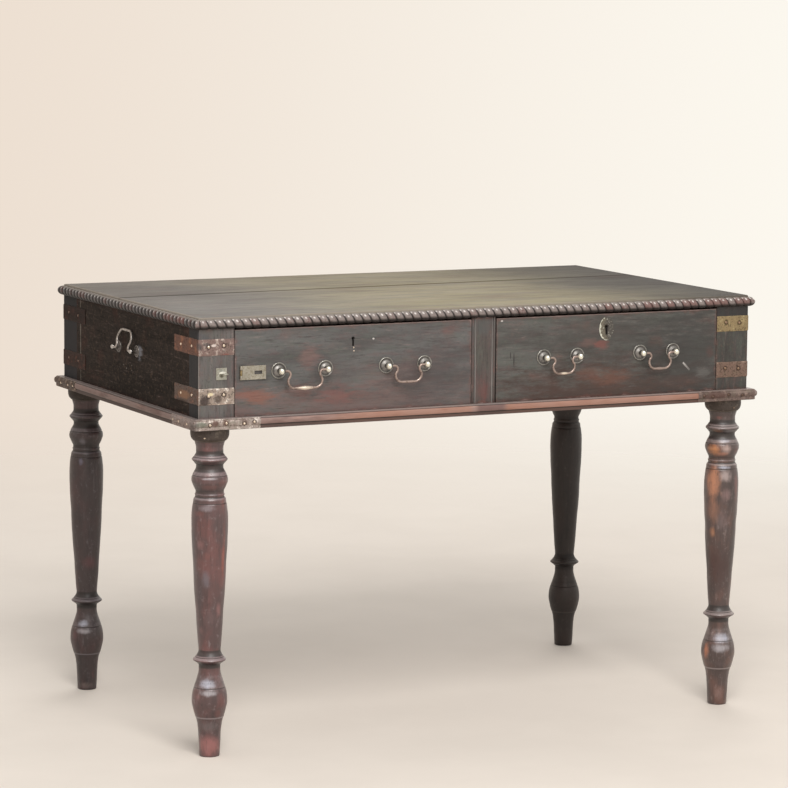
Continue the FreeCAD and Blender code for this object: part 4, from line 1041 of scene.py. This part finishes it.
face_y = -half_deep
rust, pink, chalk, soot = (138, 62, 54), (142, 96, 88), (214, 208, 202), (34, 29, 28)
drawer_looks = {  # ground, broad patches, and small crisp marks
    "left": (
        (93, 92, 91), marks_on(
            face_y, 0.03,
            (-256, 600, 330, 60, (112, 84, 79), 0.50), (-446, 640, 56, 15, (146, 80, 58), 0.46),
            (-346, 705, 24, 26, pink, 0.30), (-362, 641, 34, 16, pink, 0.30), (-289, 632, 50, 18, rust, 0.26),
            (-170, 660, 90, 30, pink, 0.16), (-100, 655, 110, 90, (68, 60, 61), 0.55),
            (-290, 668, 60, 30, (78, 70, 70), 0.35)),
        marks_on(face_y, 0.03, (-220.4, 730.4, 2, 1.6, chalk, 0.8))),
    "right": (
        (86, 85, 82), marks_on(
            face_y, 0.03,
            (256, 600, 330, 85, (60, 37, 29), 0.82), (250, 715, 180, 50, (56, 52, 48), 0.60),
            (243, 698, 18, 14, (134, 74, 66), 0.50), (214, 704, 20, 10, pink, 0.22),
            (270, 638, 60, 16, (118, 76, 60), 0.40), (219, 650, 40, 14, (114, 76, 62), 0.32),
            (414, 625, 56, 13, (112, 70, 58), 0.36), (474, 676, 10, 11, rust, 0.36),
            # The broad dark patch at the right end paints the drawer darker towards the right, as painted
            # shade.
            (430, 670, 150, 130, (47, 45, 43), 0.70), (460, 640, 20, 12, (118, 116, 112), 0.35)),
        marks_on(
            face_y, 0.03,
            (61.5, 680, 1.1, 13, soot, 0.9), (54.5, 688, 1.1, 6, soot, 0.8),
            (36.2, 751.5, 2.4, 1.6, chalk, 0.7),
            *((417.6 + 2.4 * k, 658 - 2.4 * k, 1.8, 2.2, chalk, 0.55 - 0.08 * k) for k in range(6)))),
}
for number, (side, (base, patches, pins)) in enumerate(drawer_looks.items()):
    name, seed = "drawer_" + side, 500 + number * 20
    low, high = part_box(name + "_front")
    # A pale line along each front's top arris, partly wear and partly painted light.
    top_line = (((low.x + high.x) / 2, face_y, high.z), (0.30, 0.03, 0.0018), (150, 128, 122), 0.55)
    timber(name + "_front", name + "_front_wood", "x", seed, base, (48, 42, 40), red=0.45, wear=0.46,
           rough=0.44, patches=patches, pins=pins + [top_line], tinge=0.28, grime=0.28, soften=0.0008)
    runs = {"_side_left": "y", "_side_right": "y", "_back": "x", "_bottom": "x"}
    for k, (part, run) in enumerate(runs.items()):
        timber(name + part, name + part + "_wood", run, seed + 40 + k, (124, 94, 66), (82, 60, 42), red=0.1,
               wear=0.2, rough=0.65, gloss=0.3, soften=0.0004)


# ---------------------------------------------------------------- locks and keyholes
# An iron lock is let into the back of each drawer front, and its bolt rises into the top. The left keyhole
# is bare wood with two pin marks below it. The right one has a brass plate, bent and worn away at its rim.

iron, place = new_finish("lock_iron")
bite = place.noise(0.004, 600, 4, 0.65)
lay_on(place, place.coats((74, 70, 66), ((92, 60, 44), bite.over(0.52, 0.70) * 0.6)), bite * 0.3 + 0.35,
       bite * 0.0003, metal=0.8)
for side in ("left", "right"):
    dress("drawer_" + side + "_lock_case", iron, 0.0003)
    dress("drawer_" + side + "_lock_bolt", iron, 0.0003)

plate_low, plate_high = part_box("drawer_right_keyhole_plate")
plate_centre = (plate_low + plate_high) / 2
half_wide, half_tall = (plate_high.x - plate_low.x) / 2, (plate_high.z - plate_low.z) / 2
plate_thick, hole_r, slot_half, slot_drop = plate_high.y - plate_low.y, 0.0032, 0.0018, 0.0140
hole_up = 0.0035  # the round hole's centre above the plate's


def keyhole_edge(turn):
    """How far the keyhole's edge is from the plate's centre, in this direction."""
    away, step = Vector((math.cos(turn), math.sin(turn))), 0.0001
    reach = step
    while reach < 0.02:
        at = away * reach
        in_round = (at - Vector((0, hole_up))).length < hole_r
        in_slot = abs(at.x) < slot_half and hole_up - slot_drop < at.y < hole_up
        if not (in_round or in_slot):
            break
        reach += step
    return reach


points, marks = [], {"halo": [], "rim": []}
spokes, rings = 96, 7
for layer in (1, 0):
    for ring in range(rings):
        t = ring / (rings - 1)
        for k in range(spokes):
            turn = math.tau * k / spokes
            inner = keyhole_edge(turn)
            eaten = 1 - 0.05 * max(0.0, ripple((math.cos(turn), math.sin(turn), 0), 0.45, 3))
            oval = math.sqrt((math.cos(turn) / half_wide) ** 2 + (math.sin(turn) / half_tall) ** 2)
            outer = eaten / oval
            reach = inner + (outer - inner) * t
            x, z = math.cos(turn) * reach, math.sin(turn) * reach
            dish = plate_thick * (0.55 + 0.45 * math.sin(math.pi * min(1.0, t * 1.25)))
            dish += ripple((x, 0, z), 0.006, 5) * 0.00008
            y = face_y - (dish if layer else 0.00002)
            points.append(Vector((plate_centre.x + x, y, plate_centre.z + z)))
            marks["halo"].append(bell(t, 0.35))
            marks["rim"].append(t ** 6)
faces = skin_over(rings, spokes, 0, False) + skin_over(rings, spokes, rings * spokes, False)
for ring in (0, rings - 1):
    for k in range(spokes):
        a, b = ring * spokes + k, ring * spokes + (k + 1) % spokes
        faces.append((a, b, b + rings * spokes, a + rings * spokes))
plate_brass, place = new_finish("keyhole_brass")
x, y, z = place.axes()
fleck, cloud, rim = place.noise(0.0035, 610, 4, 0.7), place.noise(0.009, 611, 3, 0.6), place.mark("rim")
shaded = (x - plate_centre.x) / half_wide + (z - plate_centre.z) / half_tall * 0.25 + (cloud - 0.5) * 1.2
eaten_away = shaded.over(-0.25, 0.25)
colour = place.coats(
    (112, 106, 94), ((50, 46, 42), (fleck + shaded * 0.2).over(0.45, 0.60) * 0.85),
    ((226, 226, 212), (rim * 0.7 - shaded * 0.4 + (fleck - 0.5) * 3.4).over(0.45, 0.80) * 0.85),
    ((74, 69, 64), eaten_away * 0.95), ((172, 170, 158), fleck.over(0.54, 0.62) * eaten_away * 0.6),
    ((36, 30, 27), (place.mark("halo") - 0.5).over(0.2, 0.5) * 0.8))
lay_on(place, colour, 0.4 + fleck * 0.25 + eaten_away * 0.1, fleck * 0.0003, 0.7 - eaten_away * 0.6)
make_piece("keyhole_plate_right", points, faces, [plate_brass], "drawer_right",
           ["drawer_right_keyhole_plate"], marks, sharp=50)

for side, pins in {"left": [(-0.2588, 0.7162), (-0.2584, 0.7104)], "right": [(0.2462, 0.7130)]}.items():
    points, faces = [], []
    for x, z in pins:
        nail_head(points, faces, Vector((x, face_y, z)), Vector((0, -1, 0)), 0.0013, 0.0006)
    make_piece("keyhole_pins_" + side, points, faces, [copper_nails], "drawer_" + side)


# ---------------------------------------------------------------- handles
# Cast brass swan-neck handles. Each bail hangs between two ball-headed posts, and each post stands on its
# own turned rosette with a raised rim. Fingers keep the bails' grips bright. Each ball carries a painted
# highlight towards the front left, with painted shade on the rest of it.


def handle_brass(name, bright, base, dark, seed, grips=()):
    finish, place = new_finish(name)
    hollow, swell = place.mark("hollow"), place.mark("swell")
    cloud, fleck = place.noise(0.007, seed, 4, 0.6), place.noise(0.0022, seed + 1, 3, 0.65)
    # On the posts, swell brightens the worn rosette rims and paints each ball's highlight, and hollow darkens
    # the dishes and paints shade on the balls.
    colour = place.coats(
        base, (dark, cloud.over(0.46, 0.64) * 0.55),
        (bright, (swell + (fleck - 0.5) * 0.8).over(0.35, 0.9) * 0.8),
        *spots(place, [(centre, reach, bright, 0.85) for centre, reach in grips], 0.2, seed + 2, 0),
        ((38, 30, 24), hollow.over(0.2, 0.8) * 0.8), (dark, fleck.over(0.56, 0.70) * 0.5))
    lay_on(place, colour, 0.30 + cloud * 0.15 + hollow * 0.25 - swell * 0.06, fleck * 0.0002, metal=0.85)
    return finish


ball_turns = [math.radians(38 + (180 - 38) * step / 12) for step in range(13)]  # from the neck to the front


def post_outline(rosette_r, head_r, head_out):
    """The outline of a dished rosette, a hollow neck and a ball head, as (radius, distance from the wood)."""
    outline = [
        (rosette_r, 0.0), (rosette_r, 0.0008), (rosette_r - 0.0004, 0.0014), (rosette_r - 0.0010, 0.0018),
        (rosette_r - 0.0018, 0.0015), (rosette_r - 0.0027, 0.0009), (rosette_r * 0.70, 0.0008),
        (rosette_r * 0.59, 0.0013), (rosette_r * 0.50, 0.0022), (rosette_r * 0.42, 0.0027), (0.0048, 0.0032),
        (0.0040, 0.0042), (0.0034, head_out * 0.45), (head_r * 0.56, head_out - head_r * 0.84),
    ]
    return outline + [(max(0.00002, head_r * math.sin(turn)), head_out - head_r * math.cos(turn))
                      for turn in ball_turns]


rim_marks = [0.2, 0.4, 0.5, 0.5, 0.3, 0, 0, 0, 0, 0, 0, 0, 0, 0]
dish_marks = [0.4, 0, 0, 0, 0.1, 0.55, 0.55, 0.35, 0.25, 0.3, 0.4, 0.6, 0.7, 0.7]
towards_painted_highlight = Vector((-0.45, -0.45, 0))


def handle_post(name, outline, at, out, body, finish, replaced):
    """A post and its rosette of this outline, standing at a point of the wood and facing out. Its ball carries
    a painted highlight towards the front left, with painted shade on the rest of it."""
    flat, spokes = Vector((0, 0, 1)), 40
    across_flat = out.cross(flat)
    to_painted_highlight = across_flat.dot(towards_painted_highlight)
    spins = [math.tau * k / spokes for k in range(spokes)]
    points = [at + (flat * math.cos(spin) + across_flat * math.sin(spin)) * r + out * away
              for r, away in outline for spin in spins]
    swells = [m for m in rim_marks for _ in spins]
    hollows = [m for m in dish_marks for _ in spins]
    # Each ball's painted highlight, as swell, and its painted shade, as hollow.
    for turn in ball_turns:
        for spin in spins:
            beside = math.sin(turn) * math.sin(spin) - to_painted_highlight
            above = math.sin(turn) * math.cos(spin) + 0.1
            worn_and_painted_light = 1.9 - 1.2 * math.hypot(beside / 0.66, above / 0.88) if turn > math.pi / 2 else 0.0
            swells.append(max(0.0, min(1.3, worn_and_painted_light)))
            hollows.append(max(0.0, min(0.5, 0.7 - worn_and_painted_light)))
    make_piece(name, points, skin_over(len(outline), spokes), [finish], body, [replaced],
               {"swell": swells, "hollow": hollows}, sharp=60)


post_finish = handle_brass("handle_post_brass", (254, 252, 236), (139, 136, 133), (82, 80, 79), 700)
bail_r, head_out = 0.0022, 0.0140
drawer_post, end_post = post_outline(0.0145, 0.0064, head_out), post_outline(0.0110, 0.0044, 0.0120)
for side in ("left", "right"):
    for hand in ("left", "right"):
        bail = "drawer_" + side + "_bail_" + hand
        low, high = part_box(bail)
        for end, x in (("left", low.x), ("right", high.x)):
            handle_post("handle_post_" + side + "_drawer_" + hand + "_" + end, drawer_post,
                        Vector((x, face_y, high.z - bail_r)), Vector((0, -1, 0)), "drawer_" + side,
                        post_finish, "drawer_" + side + "_handle_posts")
        middle = Vector(((low.x + high.x) / 2, face_y - head_out, low.z + 0.003))
        grip_reach = (0.016, 0.02, 0.01) if side == hand == "left" else (0.008, 0.02, 0.004)
        seed = 710 + len(bail) + (side == "left") * 5
        coat_node(bail, handle_brass("bail_brass_" + side + "_" + hand, (236, 222, 204), (166, 148, 140),
                                     (92, 76, 70), seed, [(middle, grip_reach)] if hand == "left" else []))

end_finish = handle_brass("end_handle_brass", (200, 196, 192), (112, 108, 106), (62, 58, 56), 705)
for side, along in (("left", -1), ("right", 1)):
    post_low, post_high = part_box("end_handle_posts_" + side)
    low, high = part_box("end_bail_" + side)
    for end, y in (("front", low.y), ("back", high.y)):
        at = Vector((along * half_long, y, (post_low.z + post_high.z) / 2))
        handle_post("end_handle_post_" + side + "_" + end, end_post, at, Vector((along, 0, 0)), "case",
                    end_finish, "end_handle_posts_" + side)
    coat_node("end_bail_" + side, handle_brass("end_bail_brass_" + side, (222, 218, 216), (168, 162, 158),
                                               (92, 86, 82), 730))


# ---------------------------------------------------------------- hasp and staple
# A flat brass hasp is hinged on the left drawer. Its long leaf swings over on to the staple, which stands
# in a square plate on the stile. The brass is a pale greenish yellow, darker at the hinge.

hasp_brass = old_brass("hasp_brass", (164, 158, 146), (208, 202, 186), (124, 114, 94), 750, 0.8, 0.34, 0.4,
                       0.1)
hinge_brass = old_brass("hinge_brass", (150, 133, 98), (186, 172, 140), (84, 68, 48), 755, 0.8, 0.38, 0.35,
                        0.05)
low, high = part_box("hasp_staple_plate")
x, y, z = (low + high) / 2
plate_marks = [((x - 0.001, y, z + 0.0065), (0.0040, 0.01, 0.0022), (142, 142, 136), 0.7),
               ((x + 0.002, y, z + 0.0018), (0.0080, 0.01, 0.0022), (250, 248, 240), 0.85),
               ((x, y, z - 0.0035), (0.0050, 0.01, 0.0034), (84, 78, 62), 0.8)]
staple_brass = old_brass("staple_brass", (164, 162, 151), (218, 218, 212), (128, 120, 104), 760, 0.75, 0.4,
                         0.5, 0.0, marks=plate_marks)
for node, finish, soften in (("hasp_leaf", hasp_brass, 0.0003), ("hasp_fixed_leaf", hinge_brass, 0.0003),
                             ("hasp_pin", hinge_brass, 0.0002), ("hasp_staple_plate", staple_brass, 0.0003)):
    dress(node, finish, soften)
coat_node("hasp_staple", staple_brass)


# ---------------------------------------------------------------- floor, light and camera
# The desk stands on a plain pale floor that runs out into the pale background of a studio. A large soft
# lamp stands in front of it and to the left, and the room's even light fills the rest.

warm_side, light_side = (236, 222, 208), (253, 249, 240)
across = (0.8987, -0.4386, 0.0)  # from the warm side of the room to the light side
lamp_white, floor_r, floor_sides = (1.0, 0.985, 0.965), 9, 96

paper, place = new_finish("pale_floor")
span = place.vector("LENGTH", output=1)
pale = place.coats((235, 226, 216), ((231, 222, 212), place.noise(0.35, 1, 4, 0.6).over(0.35, 0.7)))
floor_skin = place.node("ShaderNodeBsdfDiffuse", inputs={"Color": pale})
clear = place.node("ShaderNodeBsdfTransparent")
faded = place.node("ShaderNodeMixShader", inputs={0: span.over(1.2, 4.5), 1: floor_skin, 2: clear})
place.node("ShaderNodeOutputMaterial", inputs={"Surface": faded})
turns = [math.tau * k / floor_sides for k in range(floor_sides)]
sheet = bpy.data.meshes.new("pale_floor")
sheet.from_pydata([(floor_r * math.cos(turn), floor_r * math.sin(turn), 0) for turn in turns], [],
                  [list(range(floor_sides))])
sheet.materials.append(paper)
stand("pale_floor", sheet)

room = bpy.data.worlds.new("studio_room")
bpy.context.scene.world = room
room.use_nodes = True
room.node_tree.nodes.clear()
way = Shade(room.node_tree.nodes.new("ShaderNodeTexCoord").outputs["Generated"])
lighter = way.vector("DOT_PRODUCT", across, output=1).over(-0.16, 0.16)
backdrop = way.coats(warm_side, (light_side, lighter))
seen = way.node("ShaderNodeBackground", inputs={"Color": backdrop, "Strength": 1.0})
fill = way.node("ShaderNodeBackground", inputs={"Color": (*lamp_white, 1.0), "Strength": 0.55})
path = way.node("ShaderNodeLightPath").socket.node.outputs
direct, mirrored = Shade(path["Is Camera Ray"]), Shade(path["Is Glossy Ray"])
straight = direct.most(mirrored).most(Shade(path["Is Transmission Ray"]))
both = way.node("ShaderNodeMixShader", inputs={0: straight, 1: fill, 2: seen})
way.node("ShaderNodeOutputWorld", inputs={"Surface": both})


def lamp(name, azimuth, elevation, away, size, watts):
    """A square soft lamp that faces the desk's case. Azimuth 0 is straight in front of the drawers."""
    made = bpy.data.lights.new(name, "AREA")
    made.shape, made.size, made.energy, made.color = "SQUARE", size, watts, lamp_white
    a, e = math.radians(azimuth), math.radians(elevation)
    from_case = Vector((math.sin(a) * math.cos(e), -math.cos(a) * math.cos(e), math.sin(e)))
    obj = stand(name, made)
    obj.location = Vector((0, 0, 0.6)) + from_case * away
    obj.rotation_euler = from_case.to_track_quat("Z", "Y").to_euler()


lamp("key_lamp", -16, 42, 4.6, 2.2, 150)
lamp("far_lamp", 150, 40, 5.0, 3.0, 60)

lens = bpy.data.cameras.new("camera")
lens.lens, lens.sensor_width, lens.clip_end = 154.9, 36.0, 200.0
yaw, pitch, roll = math.radians(26.02), math.radians(7.34), math.radians(0.46)
turn = Matrix.Rotation(-yaw, 4, "Z") @ Matrix.Rotation(math.pi / 2 - pitch, 4, "X")
turn = turn @ Matrix.Rotation(roll, 4, "Z")
camera = stand("camera", lens)
camera.matrix_world = Matrix.Translation((-2.803, -5.706, 1.400)) @ turn
bpy.context.scene.camera = camera
bpy.context.scene.view_settings.view_transform = "Standard"
